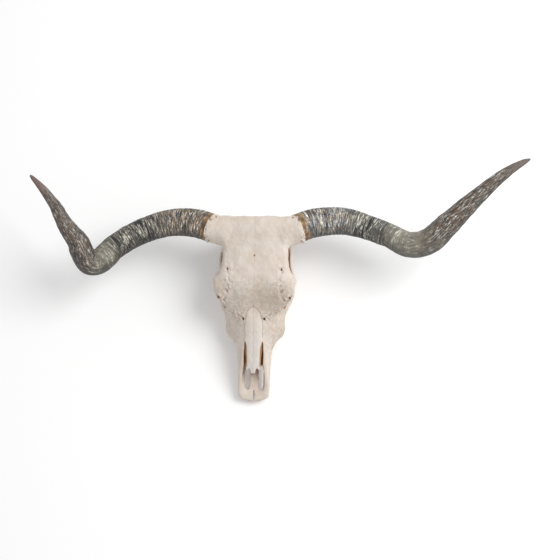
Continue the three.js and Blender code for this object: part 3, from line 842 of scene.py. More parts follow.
# no skull is quite the same on both sides, mm
drift = {"spacing": 85.0, "lattice": (8, 11, 3), "across": 0.9, "lengthwise": 0.54, "seed": 21}
archShift = -2.6
pollWave = (  # the back edge of the forehead, from right to left: where, how far it is shifted
    (-100, -78, -55, -28, -8, 8, 30, 52, 74, 100),
    (0, -0.4, -2.4, -0.6, -1.6, -1.2, 0.4, 0.2, -2.2, 0),
)
shiftBoss = {"from": 52, "to": 100, "start": 432, "end": 474, "amount": -2.5}


def smoothStep(t):
    t = np.clip(t, 0, 1)
    return t**2 * (3 - 2 * t)


def settle(points):
    # carries points from the even block into the real, slightly uneven skull
    moved = points.astype(float)
    x, y, z = points.T
    side = np.abs(x)
    lattice = np.random.default_rng(drift["seed"]).standard_normal(drift["lattice"])
    webX = weave(x, drift["spacing"], -160.0, 160.0)
    webY = weave(y, drift["spacing"], -20.0, 540.0)
    nudge = np.einsum("pi,ijk,pj->pk", webX, lattice[: webX.shape[1], : webY.shape[1]], webY) * 2.0
    height = y * math.sin(tilt) + (z + stand["depth"]) * math.cos(tilt)
    free = smoothStep(height / 60) * (1 - smoothStep((side - 80) / 30) * smoothStep((y - 430) / 20))
    moved[:, 0] += drift["across"] * nudge[:, 0] * free
    moved[:, 1] += drift["lengthwise"] * nudge[:, 1] * free
    out = smoothStep((side - shiftBoss["from"]) / (shiftBoss["to"] - shiftBoss["from"]))
    back = smoothStep((y - shiftBoss["start"]) / (shiftBoss["end"] - shiftBoss["start"]))
    moved[:, 0] += shiftBoss["amount"] * out * back
    moved[:, 0] += archShift * bell(y - 398, 26) * smoothStep((-60 - z) / 12) * (side > 85)
    nape = np.clip((y - 488) / 24, 0, 1) * np.clip((108 - side) / 20, 0, 1)
    moved[:, 1] += nape * np.interp(x, *pollWave)
    return moved


def makeMesh(name, points, quads):
    mesh = bpy.data.meshes.new(name)
    mesh.vertices.add(len(points))
    mesh.vertices.foreach_set("co", toRow(points).astype(np.float32).ravel())
    mesh.loops.add(quads.size)
    mesh.loops.foreach_set("vertex_index", quads.astype(np.int32).ravel())
    mesh.polygons.add(len(quads))
    mesh.polygons.foreach_set("loop_start", np.arange(0, quads.size, quads.shape[1], dtype=np.int32))
    mesh.polygons.foreach_set("use_smooth", np.ones(len(quads), bool))
    mesh.update(calc_edges=True)
    mesh.validate()
    mesh.set_sharp_from_angle(angle=math.radians(40))
    return addObject(name, mesh)


def mark(made, name, values):
    layer = made.data.attributes.new(name, "FLOAT", "POINT")
    layer.data.foreach_set("value", values.astype(np.float32))


# how hollow or rounded each place is, from the blurred distances; the bone is painted greyer in the hollows
# with it, as dust and painted shade
hollowness = blurred(np.clip(skull, -9, 9), 7)
pieces = {}


def dusk(at):
    # greyer on the shallow dish between the eyes, as painted shade, and on the bridge of the nose; the face
    # is painted darker on the side that the key light falls on and lighter on the other, to even out that
    # light
    x, y, z = at.T
    dish = 2.3 * np.exp(-(((y - 285) / 50) ** 2) - (x / 120) ** 4) * np.clip((z + 40) / 20, 0, 1)
    # painted shade on the side lit by the key light, painted light on the other side
    side = 0.75 * np.clip((x - 15) / 30, -0.5, 1) * np.clip((340 - y) / 40, 0, 1)
    return dish + 0.9 * bell(y - 190, 45) + side


def cropBox(volume):
    inside = np.argwhere(volume < voxel)
    low, high = inside.min(0) - 3, inside.max(0) + 4
    return tuple(slice(max(a, 0), min(b, count)) for a, b, count in zip(low, high, volume.shape))


def makeBone(bone, skin, border):
    # what lies inside both surfaces, as a pair of pieces, or as one where it crosses the middle
    volume = np.maximum(skin, border)
    box = cropBox(volume)
    origin = [a[s][0] for a, s in zip(axes, box)]
    if bone in unpaired:
        half = volume[(slice(block["pastMiddle"], box[0].stop),) + box[1:]]
        volume = np.concatenate([half[:0:-1], half], axis=0)
        origin[0] = -(len(half) - 1) * voxel
    else:
        volume = volume[box]
    points, quads = surfaceOf(volume, origin, voxel, 3 * voxel)
    points = sharpened(points, skin, border)
    if bone in unpaired:
        shapes = {bone: (points, quads)}
    else:
        mirrored = points * np.array([-1, 1, 1])
        shapes = {bone + "_left": (points, quads), bone + "_right": (mirrored, quads[:, ::-1])}
    for node, (at, faces) in shapes.items():
        made = makeMesh("bone_" + node, settle(at), faces)
        mark(made, "stain", np.clip(sample(stain, folded(at)), 0, 1))
        if bone == "nasal":  # the nasal bones are thin, and bleached whiter towards their tips
            # the nasal bones get a fixed low value here: little grey, so no painted hollow shade
            mark(made, "hollow", np.full(len(at), -1.5))
            mark(made, "bleached", 0.55 * np.clip((250 - at[:, 1]) / 90, 0, 1))
        else:
            # dust and painted shade: greyer where the surface is hollow, and where dusk() adds
            mark(made, "hollow", dusk(at) - sample(hollowness, folded(at)))
            mark(made, "bleached", np.zeros(len(at)))
        pieces[node] = made


def makeNasals():
    # returns the room that the two nasal bones take from the others
    x, y, z = coordinates(everywhere)
    outline = outlineDistance(nasalOutline, plan[0] + 0.25 * waver(gridX, gridY, 9, 40), plan[1])[:, :, None]
    region = np.maximum(outline, -30 - z)
    arched = bell(x - 12, 8) * np.clip((y - 84) / 30, 0, 1)
    rough = 0.3 * unevenness(*lumps["nasal"]) + 0.12 * unevenness(*lumps["nasalFine"])
    skin = blendMax(nasalVolume, region + seam["gap"] / 2, 1.0) - 0.8 * arched + np.clip(x / 4, 0, 1) * rough
    darken(everywhere, 0.07 * bell(outline, 1.1) * (z > -30) * (y > 70))
    darken(everywhere, 0.12 * bell(x, 1.1) * ((y > 80) & (y < 266) & (z > -30)))
    makeBone("nasal", skin, np.broadcast_to(0.02 - x, skull.shape))
    return region


def makeBones():
    x, y, _ = coordinates(everywhere)
    taken = makeNasals()
    for place, bone in enumerate(regions):
        own = regionDistance(bone, seam["seed"] + 10 * place)
        line = np.maximum(np.abs(own), seam["gap"] - taken)
        brow = (bone == "frontal") & (x > 26) & (y < 300)
        darken(everywhere, (seam["tint"] + seam["browTint"] * brow) * bell(line, seam["tintWidth"]))
        groove = seam["groove"] * bell(own, seam["grooveWidth"])
        border = np.maximum(own, -taken) + seam["gap"] / 2
        if bone == "frontal":
            box, _, ahead = hornBoss()
            border[box] = np.maximum(border[box], ahead)  # the flat end under the sheath
        makeBone(bone, skull + groove, border)
        skull[:] += groove * (taken > -1)
        taken = np.minimum(taken, own)
    makeBone("sphenoid", skull, seam["gap"] / 2 - taken)


makeBones()
print("bones parted:", len(pieces))


# ---- Materials ----
boneLook = {  # sizes in mm
    "pale": "DBD0C6", "warm": "D1C3B5", "bleached": "D6D3CF", "grey": "A5988A",
    "stain": "BC8750", "deep": "6A4526",
    "roughness": 0.62, "ior": 1.5, "mottle": 38.0, "fleck": 8.0, "grain": 1.6, "pore": 2.2, "relief": 0.6,
}  # fmt: skip


def boneMaterial():
    # sun-bleached bone, boiled and dried: chalky, faintly porous, grease-brown where it stays sheltered,
    # greyer in its hollows with dust and painted shade
    made, tree, shader = newMaterial("bleached_bone")
    place = addNode(tree, "ShaderNodeTexCoord", out="Object")
    marked, noise = {}, {}
    for name in ("stain", "hollow", "bleached"):
        marked[name] = addNode(tree, "ShaderNodeAttribute", {"attribute_name": name}, "Fac")
    for name, detail, roughness in (("mottle", 4.0, 0.6), ("fleck", 5.0, 0.65), ("grain", 2.0, 0.5)):
        given = {"Vector": place, "Scale": 1000 / boneLook[name], "Detail": detail, "Roughness": roughness}
        noise[name] = addNode(tree, "ShaderNodeTexNoise", given, "Fac")
    # grey in random flecks, and in the hollows as dust and painted shade
    spread = addNode(tree, "ShaderNodeMapRange", {0: noise["mottle"], 1: 0.35, 2: 0.68})
    given = {"operation": "MULTIPLY_ADD", 0: noise["fleck"], 1: 4.4, 2: marked["hollow"]}
    dustAndShade = addNode(tree, "ShaderNodeMath", given)
    sunk = addNode(tree, "ShaderNodeMapRange", {0: dustAndShade, 1: 2.5, 2: 5.2, 4: 0.85})
    colour = linear(boneLook["pale"])
    for amount, towards in ((spread, "warm"), (marked["bleached"], "bleached"), (sunk, "grey")):
        given = {"data_type": "RGBA", 0: amount, 6: colour, 7: linear(boneLook[towards])}
        colour = addNode(tree, "ShaderNodeMix", given, 2)
    # grease and dirt
    given = {"operation": "MULTIPLY_ADD", 0: noise["mottle"], 1: 0.7, 2: 0.62}
    blotch = addNode(tree, "ShaderNodeMath", given)
    given = {"operation": "MULTIPLY", "use_clamp": True, 0: marked["stain"], 1: blotch}
    dirt = addNode(tree, "ShaderNodeMath", given)
    stops = [(0.0, "FFFFFF"), (0.55, boneLook["stain"]), (1.0, boneLook["deep"])]
    greased = addNode(tree, "ShaderNodeValToRGB", {"stops": stops, 0: dirt})
    given = {"data_type": "RGBA", "blend_type": "MULTIPLY", 0: 1.0, 6: colour, 7: greased}
    colour = addNode(tree, "ShaderNodeMix", given, 2)
    # grain and pores
    given = {"Vector": place, "Scale": 1000 / boneLook["pore"]}
    pores = addNode(tree, "ShaderNodeTexVoronoi", given, "Distance")
    pitted = addNode(tree, "ShaderNodeMapRange", {0: pores, 1: 0.0, 2: 0.35})
    relief = addNode(tree, "ShaderNodeMath", {"operation": "ADD", 0: noise["grain"], 1: pitted})
    given = {"Strength": 0.22, "Distance": boneLook["relief"] / 1000, "Height": relief}
    feed(shader, {"Base Color": colour, "Normal": addNode(tree, "ShaderNodeBump", given)})
    feed(shader, {"Roughness": boneLook["roughness"], "IOR": boneLook["ior"]})
    return made


bone = boneMaterial()
for node, made in pieces.items():
    made.data.materials.append(bone)
    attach(made, "root")
    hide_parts(node)
print("bone finished")

# ---- Cheek teeth ----
teeth = {  # mm, from the first premolar to the last molar
    "lengths": [14, 18, 19, 25, 28, 29], "widths": [15, 18, 19, 22, 23, 21], "height": 44,
    "startY": 161, "startX": 48, "flare": 0.055,
}  # fmt: skip
# the block a crown is carved from: its sides and their step in crown widths, its height and that step in mm
crownGrid = {"side": 0.7, "step": 0.05, "low": -4, "high": 48, "tall": 1.5, "width": 22}
enamelLook = {
    "ivory": "E6DCC9", "tartar": "5A3F26", "tartarFrom": 6.0, "tartarTo": 20.0, "cloud": 6.25,
    "roughness": 0.32, "ior": 1.62, "relief": 0.4,
}  # fmt: skip


def crownMesh():
    # one molar in unit length and width, grinding face at z = 0: two lobes inside, ribs outside, worn cups
    step, tall, width = crownGrid["step"], crownGrid["tall"], crownGrid["width"]
    across = np.arange(-crownGrid["side"], crownGrid["side"] + step, step, dtype=np.float32)
    u, v = across[:, None, None], across[None, :, None]
    w = np.arange(crownGrid["low"], crownGrid["high"], tall, dtype=np.float32)[None, None, :]
    outer = 0.47 + 0.075 * np.cos(v * 2 * np.pi * 2.2)
    inner = -0.38 - 0.17 * np.abs(np.sin((v + 0.5) * 2 * np.pi))
    body = np.maximum(np.maximum(u - outer, inner - u), np.abs(v) - 0.52)
    body = blendMax(body * width, np.abs(v) * width - 11.4, 5.0)
    taper = 1 + 0.004 * (w - 20)
    cup = 1 - np.hypot((u - 0.04) / 0.13, (np.abs(v) - 0.25) / 0.16)
    grind = 3.0 * np.clip(cup, 0, 1) - w
    solid = np.maximum(np.maximum(body * taper, grind), w - teeth["height"])
    low = (-crownGrid["side"], -crownGrid["side"], crownGrid["low"])
    points, quads = surfaceOf(solid, low, np.array([step, step, tall]), 4.0)
    points[:, 2] = np.maximum(points[:, 2], 0)
    mesh = bpy.data.meshes.new("crown")
    mesh.from_pydata((points * 0.001).tolist(), [], quads.tolist())
    return addObject("crown", mesh)


def enamelMaterial():
    # worn cattle enamel: ivory, glossy on the ribs, dark brown tartar towards the bone
    made, tree, shader = newMaterial("tooth_enamel")
    place = addNode(tree, "ShaderNodeTexCoord", out="Object")
    height = addNode(tree, "ShaderNodeSeparateXYZ", {0: place}, 2)
    start, end = enamelLook["tartarFrom"] / 1000, enamelLook["tartarTo"] / 1000
    tartar = addNode(tree, "ShaderNodeMapRange", {0: height, 1: start, 2: end})
    given = {"Vector": place, "Scale": 1000 / enamelLook["cloud"], "Detail": 3.0}
    cloud = addNode(tree, "ShaderNodeTexNoise", given, "Fac")
    given = {"operation": "MULTIPLY", "use_clamp": True, 0: tartar, 1: cloud}
    amount = addNode(tree, "ShaderNodeMath", given)
    ivory, brown = linear(enamelLook["ivory"]), linear(enamelLook["tartar"])
    colour = addNode(tree, "ShaderNodeMix", {"data_type": "RGBA", 0: amount, 6: ivory, 7: brown}, 2)
    given = {"Strength": 0.15, "Distance": enamelLook["relief"] / 1000, "Height": cloud}
    feed(shader, {"Base Color": colour, "Normal": addNode(tree, "ShaderNodeBump", given)})
    feed(shader, {"Roughness": enamelLook["roughness"], "IOR": enamelLook["ior"]})
    return made


def newTree(name, inputs):
    # a Geometry Nodes tree with the named inputs, and what its input node hands out
    tree = bpy.data.node_groups.new(name, "GeometryNodeTree")
    for label, kind in inputs.items():
        tree.interface.new_socket(label, in_out="INPUT", socket_type="NodeSocket" + kind)
    tree.interface.new_socket("Geometry", in_out="OUTPUT", socket_type="NodeSocketGeometry")
    return tree, addNode(tree, "NodeGroupInput", out=None).outputs


def finishTree(tree, shape, material):
    real = addNode(tree, "GeometryNodeRealizeInstances", {0: shape})
    coated = addNode(tree, "GeometryNodeSetMaterial", {0: real, "Material": material})
    addNode(tree, "NodeGroupOutput", {0: coated}, None)


def toothTree():
    # one crown at each point of a row, sized by the point, realised
    inputs = {"Geometry": "Geometry", "Crown": "Object", "Crowding": "Float", "Enamel": "Material"}
    tree, given = newTree("toothRow", inputs)
    crown = addNode(tree, "GeometryNodeObjectInfo", {"Object": given["Crown"]}, "Geometry")
    size = addNode(tree, "GeometryNodeInputNamedAttribute", {"data_type": "FLOAT_VECTOR", "Name": "size"})
    fitted = {"operation": "SCALE", 0: size, "Scale": given["Crowding"]}
    placed = {"Points": given["Geometry"], "Instance": crown}
    placed |= {"Scale": addNode(tree, "ShaderNodeVectorMath", fitted)}
    finishTree(tree, addNode(tree, "GeometryNodeInstanceOnPoints", placed), given["Enamel"])
    return tree


def applyTree(name, mesh, tree, values):
    # runs a node tree on a mesh and keeps the result as a plain mesh
    source = addObject(name + "Source", mesh)
    modifier = source.modifiers.new("nodes", "NODES")
    modifier.node_group = tree
    for item in tree.interface.items_tree:
        if item.in_out == "INPUT" and item.name in values:
            modifier[item.identifier] = values[item.name]
    found = source.evaluated_get(bpy.context.evaluated_depsgraph_get())
    plain = bpy.data.meshes.new_from_object(found)
    bpy.data.objects.remove(source)
    plain.name = name
    plain.polygons.foreach_set("use_smooth", np.ones(len(plain.polygons), bool))
    return addObject(name, plain)


def makeTeeth():
    crown, enamel, tree = crownMesh(), enamelMaterial(), toothTree()
    for side, word in sides.items():
        y, points, sizes = teeth["startY"], [], []
        for length, width in zip(teeth["lengths"], teeth["widths"]):
            middle = y + length / 2
            out = teeth["startX"] + teeth["flare"] * (middle - teeth["startY"])
            points.append([side * out, middle, restPlane(middle)])
            sizes.append([side * width, length, 1.0])
            y += length
        mesh = bpy.data.meshes.new("sockets")
        mesh.from_pydata(toRow(points).tolist(), [], [])
        size = mesh.attributes.new("size", "FLOAT_VECTOR", "POINT")
        size.data.foreach_set("vector", np.array(sizes, np.float32).ravel())
        made = applyTree("teeth_" + word, mesh, tree, {"Crown": crown, "Crowding": 1.0, "Enamel": enamel})
        if side < 0:
            made.data.flip_normals()
        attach(made, "root")
        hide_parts("maxilla_" + word)
    bpy.data.objects.remove(crown)


makeTeeth()
print("teeth set")

# ---- Horn sheaths ----
# centre line and radius from the bone's rim to the tip, x, y, z, radius
hornLines = {
    "left": [
        [122, 488, -42, 41.8], [147.8, 498.4, -51.5, 42.1], [176.8, 505.8, -60, 41.8],
        [248.1, 509.9, -67, 39.8], [308.1, 495.1, -60, 36.4], [375.5, 469.8, -39, 34.5],
        [434.6, 442.9, -10, 36.3], [484.5, 452.2, 12, 37.1], [537.3, 501.6, 28, 33.3],
        [605.2, 567.5, 40, 24.6], [687.7, 639.3, 47, 15.3], [737.5, 669.8, 48, 7.9],
        [754.8, 677.9, 48, 2.5],
    ],
    "right": [
        [-127, 486, -42, 41.6], [-153.9, 495.4, -50, 41.9], [-185.3, 501.5, -57, 41.5],
        [-250.4, 500.5, -64, 39.5], [-328, 474, -50, 36.7], [-398.8, 427.5, -14, 35.8],
        [-437.4, 388, 8, 36.5], [-461.9, 382.2, 19, 35], [-476.8, 402.4, 26, 34.4],
        [-491.4, 438.6, 36, 31.1], [-522.8, 484.7, 48, 23.8], [-551.7, 539.1, 58, 17.1],
        [-583, 582.2, 64, 11.7], [-612.6, 614.9, 68, 5.8], [-620.4, 623.1, 69, 2.5],
    ],
}  # fmt: skip
hornLook = {  # the tree's own sizes in mm, how far a sheath reaches over its core and how round its tip is
    "Steps": 460, "Sides": 104,
    "sizes": {
        "Ring spacing": 4.6, "Ring height": 0.9, "Band spacing": 26.0, "Band height": 1.3,
        "Flake spacing": 1000 / 14, "Flake height": 0.9, "Inset": 0.9,
    },
    "overCore": 2.5, "tipRound": 4.0, "pathPoints": 900,
}  # fmt: skip
hornOwn = {  # lengths along the horn as parts of the whole
    "left": {
        "seed": 3.7, "ringsEnd": 0.19, "distalFrom": 0.43, "bend": (0.32, 0.38, 0.48, 0.6),
        "knobAt": 0.665, "knobTurn": (0.0, 1.0), "knobHeight": 1.6,
        "ring": [(0.35, "191B1F"), (0.43, "3E4651"), (0.5, "70767D"), (0.57, "AFA28C"), (0.64, "F4EEE2")],
        "arc": [
            (0.36, "17191A"), (0.47, "303231"), (0.488, "B8B2A3"),
            (0.507, "E0DACB"), (0.525, "3A3C3A"), (0.66, "66645D"),
        ],
        "streak": [(0.37, "161412"), (0.45, "433E38"), (0.54, "746E66"), (0.62, "DDD7CB")],
        "tip": "6A5E56", "beige": "ADA999", "rust": 0.7,
    },
    "right": {
        "seed": 9.1, "ringsEnd": 0.22, "distalFrom": 0.53, "bend": (0.43, 0.49, 0.5, 0.6),
        "knobAt": 0.665, "knobTurn": (1.0, 0.0), "knobHeight": 4.5,
        "ring": [(0.36, "131416"), (0.44, "36383D"), (0.5, "686561"), (0.56, "A59480"), (0.63, "F2EADC")],
        "arc": [
            (0.36, "141616"), (0.47, "292B2A"), (0.488, "969082"),
            (0.507, "C9C2B2"), (0.525, "313332"), (0.66, "5A5850"),
        ],
        "streak": [(0.37, "181311"), (0.45, "443D37"), (0.54, "746D66"), (0.62, "D9D1C6")],
        "tip": "7A625A", "beige": "A09B89", "rust": 0.55,
    },
}  # fmt: skip
keratin = {
    # the third colour is painted shade, laid into the deep grooves
    "tan": "8A6B45", "rust": "5F4A3A", "crevice": "2E2C29",
    "rim": [(0.38, "4E3B22"), (0.5, "8F6A3C"), (0.62, "B08C58")],
    "ior": 1.54, "relief": 2.2, "bump": 0.6,
    "fields": {  # how fast each pattern changes round the horn and, per metre, along it, and its detail
        "rings": (1.9, 430.0, 5.0), "arcs": (0.5, 120.0, 3.0), "bands": (1.2, 60.0, 4.0),
        "streaks": (13.0, 66.0, 6.0), "cloud": (3.2, 80.0, 5.0), "hue": (2.4, 60.0, 4.0),
        "specks": (13.0, 300.0, 3.0),
    },
}  # fmt: skip


def hornTree():
    # a tube along the path: growth rings near its root, broad bands in the middle and long flakes outwards
    floats = (*hornLook["sizes"], "Knob height", "Rings end", "Knob at", "Knob x", "Knob y", "Seed")
    inputs = {"Geometry": "Geometry", "Steps": "Int", "Sides": "Int", "Keratin": "Material"}
    tree, given = newTree("hornSheath", inputs | dict.fromkeys(floats, "Float"))
    thick = addNode(tree, "GeometryNodeInputNamedAttribute", {"data_type": "FLOAT", "Name": "thickness"})
    line = addNode(tree, "GeometryNodeMeshToCurve", {0: given["Geometry"]})
    even = addNode(tree, "GeometryNodeResampleCurve", {"Curve": line, "Count": given["Steps"]})
    along = addNode(tree, "GeometryNodeSplineParameter", out=None).outputs
    caught = addNode(tree, "GeometryNodeCaptureAttribute", out=None)
    for name in ("along", "part", "thick"):
        caught.capture_items.new("FLOAT", name)
    feed(caught, {0: even, 1: along["Length"], 2: along["Factor"], 3: thick})
    ring = addNode(tree, "GeometryNodeCurvePrimitiveCircle", {"Radius": 1.0, "Resolution": given["Sides"]})
    turned = addNode(tree, "GeometryNodeCaptureAttribute", out=None)
    turned.capture_items.new("VECTOR", "around")
    feed(turned, {0: ring, 1: addNode(tree, "GeometryNodeInputPosition")})
    swept = {"Curve": caught.outputs[0], "Profile Curve": turned.outputs[0], "Fill Caps": True}
    skin = addNode(tree, "GeometryNodeCurveToMesh", swept | {"Scale": caught.outputs["thick"]})
    around, part, length = turned.outputs["around"], caught.outputs["part"], caught.outputs["along"]
    # where along the horn each kind of relief grows and fades
    ringsEnd = given["Rings end"]
    late = addNode(tree, "ShaderNodeMath", {"operation": "ADD", 0: ringsEnd, 1: 0.16})
    fades = {
        "Ring": (ringsEnd, late, 1.0, 0.12), "Flake": (ringsEnd, late, 0.1, 1.0),
        "Band": (0.12, 0.3, 0.15, 1.0), "tip": (0.84, 0.99, 1.0, 0.0),
    }  # fmt: skip
    for name, (start, end, low, high) in fades.items():
        ranged = {"interpolation_type": "SMOOTHSTEP", 0: part, 1: start, 2: end, 3: low, 4: high}
        fades[name] = addNode(tree, "ShaderNodeMapRange", ranged)
    # the knob on the horn's outer bend
    knob = addNode(tree, "ShaderNodeCombineXYZ", {0: given["Knob x"], 1: given["Knob y"]})
    apart = addNode(tree, "ShaderNodeVectorMath", {"operation": "DISTANCE", 0: around, 1: knob}, "Value")
    ahead = addNode(tree, "ShaderNodeMath", {"operation": "SUBTRACT", 0: part, 1: given["Knob at"]})
    off = addNode(tree, "ShaderNodeCombineXYZ", {0: ahead, 1: apart})
    off = addNode(tree, "ShaderNodeVectorMath", {"operation": "MULTIPLY", 0: off, 1: (26.0, 1.5, 0)})
    off = addNode(tree, "ShaderNodeVectorMath", {"operation": "LENGTH", 0: off}, "Value")
    raised = addNode(tree, "ShaderNodeMapRange", {"interpolation_type": "SMOOTHSTEP", 0: off, 3: 1.0, 4: 0.0})
    total = addNode(tree, "ShaderNodeMath", {"operation": "MULTIPLY", 0: raised, 1: given["Knob height"]})
    # how fast each kind of relief changes round the horn, its detail and its roughness
    waves = {"Ring": (0.32, 2.0, 0.55), "Band": (0.68, 2.0, 0.55), "Flake": (5.0, 3.0, 0.5)}
    for name, (spread, detail, roughness) in waves.items():
        spacing, rise = given[name + " spacing"], given[name + " height"]
        turns = addNode(tree, "ShaderNodeMath", {"operation": "DIVIDE", 0: length, 1: spacing})
        level = addNode(tree, "ShaderNodeCombineXYZ", {2: turns})
        spot = {"operation": "MULTIPLY_ADD", 0: around, 1: (spread, spread, 0), 2: level}
        noise = {"noise_dimensions": "4D", "Scale": 1.0, "Detail": detail, "Roughness": roughness}
        noise |= {"Vector": addNode(tree, "ShaderNodeVectorMath", spot), "W": given["Seed"]}
        noise = addNode(tree, "ShaderNodeTexNoise", noise)
        swing = addNode(tree, "ShaderNodeMapRange", {0: noise, 1: 0.25, 2: 0.75, 3: -1.0, 4: 0.9})
        tall = addNode(tree, "ShaderNodeMath", {"operation": "MULTIPLY", 0: swing, 1: rise})
        summed = {"operation": "MULTIPLY_ADD", 0: tall, 1: fades[name], 2: total}
        total = addNode(tree, "ShaderNodeMath", summed)
    for operation, other in (("SUBTRACT", given["Inset"]), ("MULTIPLY", fades["tip"])):
        total = addNode(tree, "ShaderNodeMath", {"operation": operation, 0: total, 1: other})
    out = addNode(tree, "GeometryNodeInputNormal")
    # how much the surface faces up, which the keratin uses for its painted light and shade
    upward = addNode(tree, "ShaderNodeSeparateXYZ", {0: out}, 2)
    push = addNode(tree, "ShaderNodeVectorMath", {"operation": "SCALE", 0: out, "Scale": total})
    shaped = addNode(tree, "GeometryNodeSetPosition", {0: skin, "Offset": push})
    # what the keratin reads
    kept = {"along": length, "part": part, "relief": total, "up": upward, "around": around}
    for name, value in kept.items():
        kind = "FLOAT_VECTOR" if name == "around" else "FLOAT"
        store = {"data_type": kind, "domain": "POINT", "Name": name, 0: shaped, "Value": value}
        shaped = addNode(tree, "GeometryNodeStoreNamedAttribute", store)
    finishTree(tree, shaped, given["Keratin"])
    return tree


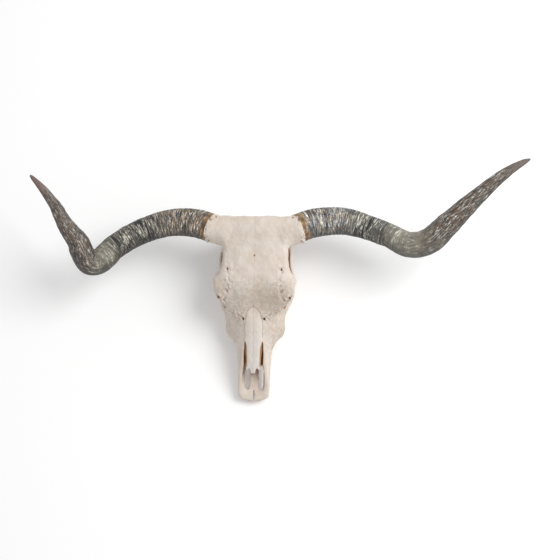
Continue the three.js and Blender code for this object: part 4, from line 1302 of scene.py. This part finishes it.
def keratinMaterial(name, own):
    # weathered horn sheath: grey-brown keratin, in rings at the root and worn into long flakes outwards;
    # painted light where it faces up, painted shade on its sides, underneath and in its deep grooves
    made, tree, shader = newMaterial(name)
    read = {}
    for key in ("along", "part", "relief", "up"):
        read[key] = addNode(tree, "ShaderNodeAttribute", {"attribute_name": key}, "Fac")
    around = addNode(tree, "ShaderNodeAttribute", {"attribute_name": "around"}, "Vector")
    for key, (spread, perMetre, detail) in keratin["fields"].items():
        level = addNode(tree, "ShaderNodeMath", {"operation": "MULTIPLY", 0: read["along"], 1: perMetre})
        stacked = addNode(tree, "ShaderNodeCombineXYZ", {2: level})
        spot = {"operation": "MULTIPLY_ADD", 0: around, 1: (spread, spread, 0), 2: stacked}
        noise = {"noise_dimensions": "4D", "Scale": 1.0, "Detail": detail, "Roughness": 0.62}
        noise |= {"Vector": addNode(tree, "ShaderNodeVectorMath", spot), "W": own["seed"]}
        read[key] = addNode(tree, "ShaderNodeTexNoise", noise)
    ringsEnd, distal, bend = own["ringsEnd"], own["distalFrom"], own["bend"]
    masks = {  # what each reads, from where to where, and its strengths there
        "outer": ("part", ringsEnd - 0.06, ringsEnd + 0.08, 0, 1),
        "distal": ("part", distal - 0.03, distal + 0.05, 0, 1),
        "bendStart": ("part", bend[0], bend[1], 0, 0.42),
        "bendEnd": ("part", bend[2], bend[3], 1, 0),
        "tip": ("part", 0.86, 0.97, 0, 0.75),
        "weather": ("up", 0.05, 0.95, 0.34, 1.18),  # painted light on what faces up, painted shade on the sides and underneath
        "tan": ("hue", 0.46, 0.64, 0, 0.42),
        "ringShade": ("bands", 0.34, 0.56, 0.5, 1.12),
        "arcShade": ("bands", 0.38, 0.6, 0.55, 1.45),
        "arcGrain": ("rings", 0.34, 0.66, 0.75, 1.2),
        "streakShade": ("cloud", 0.38, 0.62, 0.52, 1.25),
        "rust": ("bands", 0.48, 0.62, 0.1, own["rust"]),
        "specks": ("specks", 0.34, 0.66, 0.42, 1.58),
        "fineSpecks": ("specks", 0.34, 0.66, 0.78, 1.22),
        "rimReach": ("along", 0.007, 0.026, 1, 0),
        "rimPatches": ("cloud", 0.36, 0.52, 0.35, 1),
        # painted shade: the keratin turns dark in the deep grooves of the relief
        "crevice": ("relief", -0.0022, -0.0006, 0.5, 0),
        "dullness": ("streaks", 0.3, 0.7, 0.42, 0.66),
    }
    mask = {}
    for key, (source, start, end, low, high) in masks.items():
        ranged = {"interpolation_type": "SMOOTHSTEP", 0: read[source], 1: start, 2: end, 3: low, 4: high}
        mask[key] = addNode(tree, "ShaderNodeMapRange", ranged)
    for key, first, second in (("bend", "bendStart", "bendEnd"), ("rim", "rimReach", "rimPatches")):
        both = {"operation": "MULTIPLY", 0: mask[first], 1: mask[second]}
        mask[key] = addNode(tree, "ShaderNodeMath", both)
    coat = {}
    for key, source in (("ring", "rings"), ("arc", "arcs"), ("streak", "streaks"), ("rim", "hue")):
        stops = keratin["rim"] if key == "rim" else own[key]
        coat[key] = addNode(tree, "ShaderNodeValToRGB", {"stops": stops, 0: read[source]})
    steps = (  # a coat, the mask that shades it, and the coat or colour that it turns to there
        ("ring", "tan", keratin["tan"]), ("ring", "ringShade", None), ("ring", "specks", None),
        ("arc", "arcGrain", None), ("arc", "arcShade", None), ("arc", "fineSpecks", None),
        ("streak", "streakShade", None), ("streak", "rust", keratin["rust"]), ("streak", "specks", None),
        ("ring", "outer", "arc"), ("ring", "distal", "streak"), ("ring", "bend", own["beige"]),
        ("ring", "weather", None), ("ring", "tip", own["tip"]), ("ring", "rim", "rim"),
        ("ring", "crevice", keratin["crevice"]),
    )  # fmt: skip
    for key, strength, towards in steps:
        if towards is None:
            shaded = {"operation": "SCALE", 0: coat[key], "Scale": mask[strength]}
            coat[key] = addNode(tree, "ShaderNodeVectorMath", shaded)
        else:
            other = coat[towards] if towards in coat else linear(towards)
            mixed = {"data_type": "RGBA", 0: mask[strength], 6: coat[key], 7: other}
            coat[key] = addNode(tree, "ShaderNodeMix", mixed, 2)
    height = {"data_type": "FLOAT", 0: mask["distal"], 2: read["rings"], 3: read["streaks"]}
    height = addNode(tree, "ShaderNodeMix", height)
    bump = {"Strength": keratin["bump"], "Distance": keratin["relief"] / 1000, "Height": height}
    feed(shader, {"Base Color": coat["ring"], "Normal": addNode(tree, "ShaderNodeBump", bump)})
    feed(shader, {"Roughness": mask["dullness"], "IOR": keratin["ior"]})
    return made


def makeHorn(word):
    points = np.array(hornLines[word], float)
    outwards = points[1, :3] - points[0, :3]
    points[0, :3] -= outwards / np.linalg.norm(outwards) * hornLook["overCore"]
    ends = withEnds(points)
    line = np.vstack([curveThrough(ends[:, :3], 24), points[-1:, :3]])
    numbered = np.column_stack([np.arange(len(ends)), ends[:, 3]])
    radii = np.append(curveThrough(numbered, 24)[:, 1], points[-1, 3])
    along = np.insert(np.cumsum(np.linalg.norm(np.diff(line, axis=0), axis=1)), 0, 0)
    left = (along[-1] - along) / hornLook["tipRound"]
    radii = radii * np.sqrt(np.clip(1 - np.clip(1 - left, 0, 1) ** 2, 0.02, 1))
    even = np.linspace(0.3, along[-1], hornLook["pathPoints"])
    line = np.stack([np.interp(even, along, line[:, i]) for i in range(3)], 1)
    mesh = bpy.data.meshes.new("hornPath")
    mesh.from_pydata(toRow(line).tolist(), [(i, i + 1) for i in range(len(line) - 1)], [])
    thick = mesh.attributes.new("thickness", "FLOAT", "POINT")
    thick.data.foreach_set("value", (np.interp(even, along, radii) / 1000).astype(np.float32))
    own = hornOwn[word]
    values = {name: size / 1000 for name, size in hornLook["sizes"].items()}
    values |= {
        "Steps": hornLook["Steps"], "Sides": hornLook["Sides"], "Seed": own["seed"],
        "Keratin": keratinMaterial("horn_keratin_" + word, own), "Rings end": own["ringsEnd"],
        "Knob at": own["knobAt"],
        "Knob x": own["knobTurn"][0], "Knob y": own["knobTurn"][1], "Knob height": own["knobHeight"] / 1000,
    }  # fmt: skip
    made = applyTree("horn_sheath_" + word, mesh, sheathTree, values)
    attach(made, "root")
    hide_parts("horn_" + word)


sheathTree = hornTree()
for word in hornLines:
    makeHorn(word)
print("horns grown")
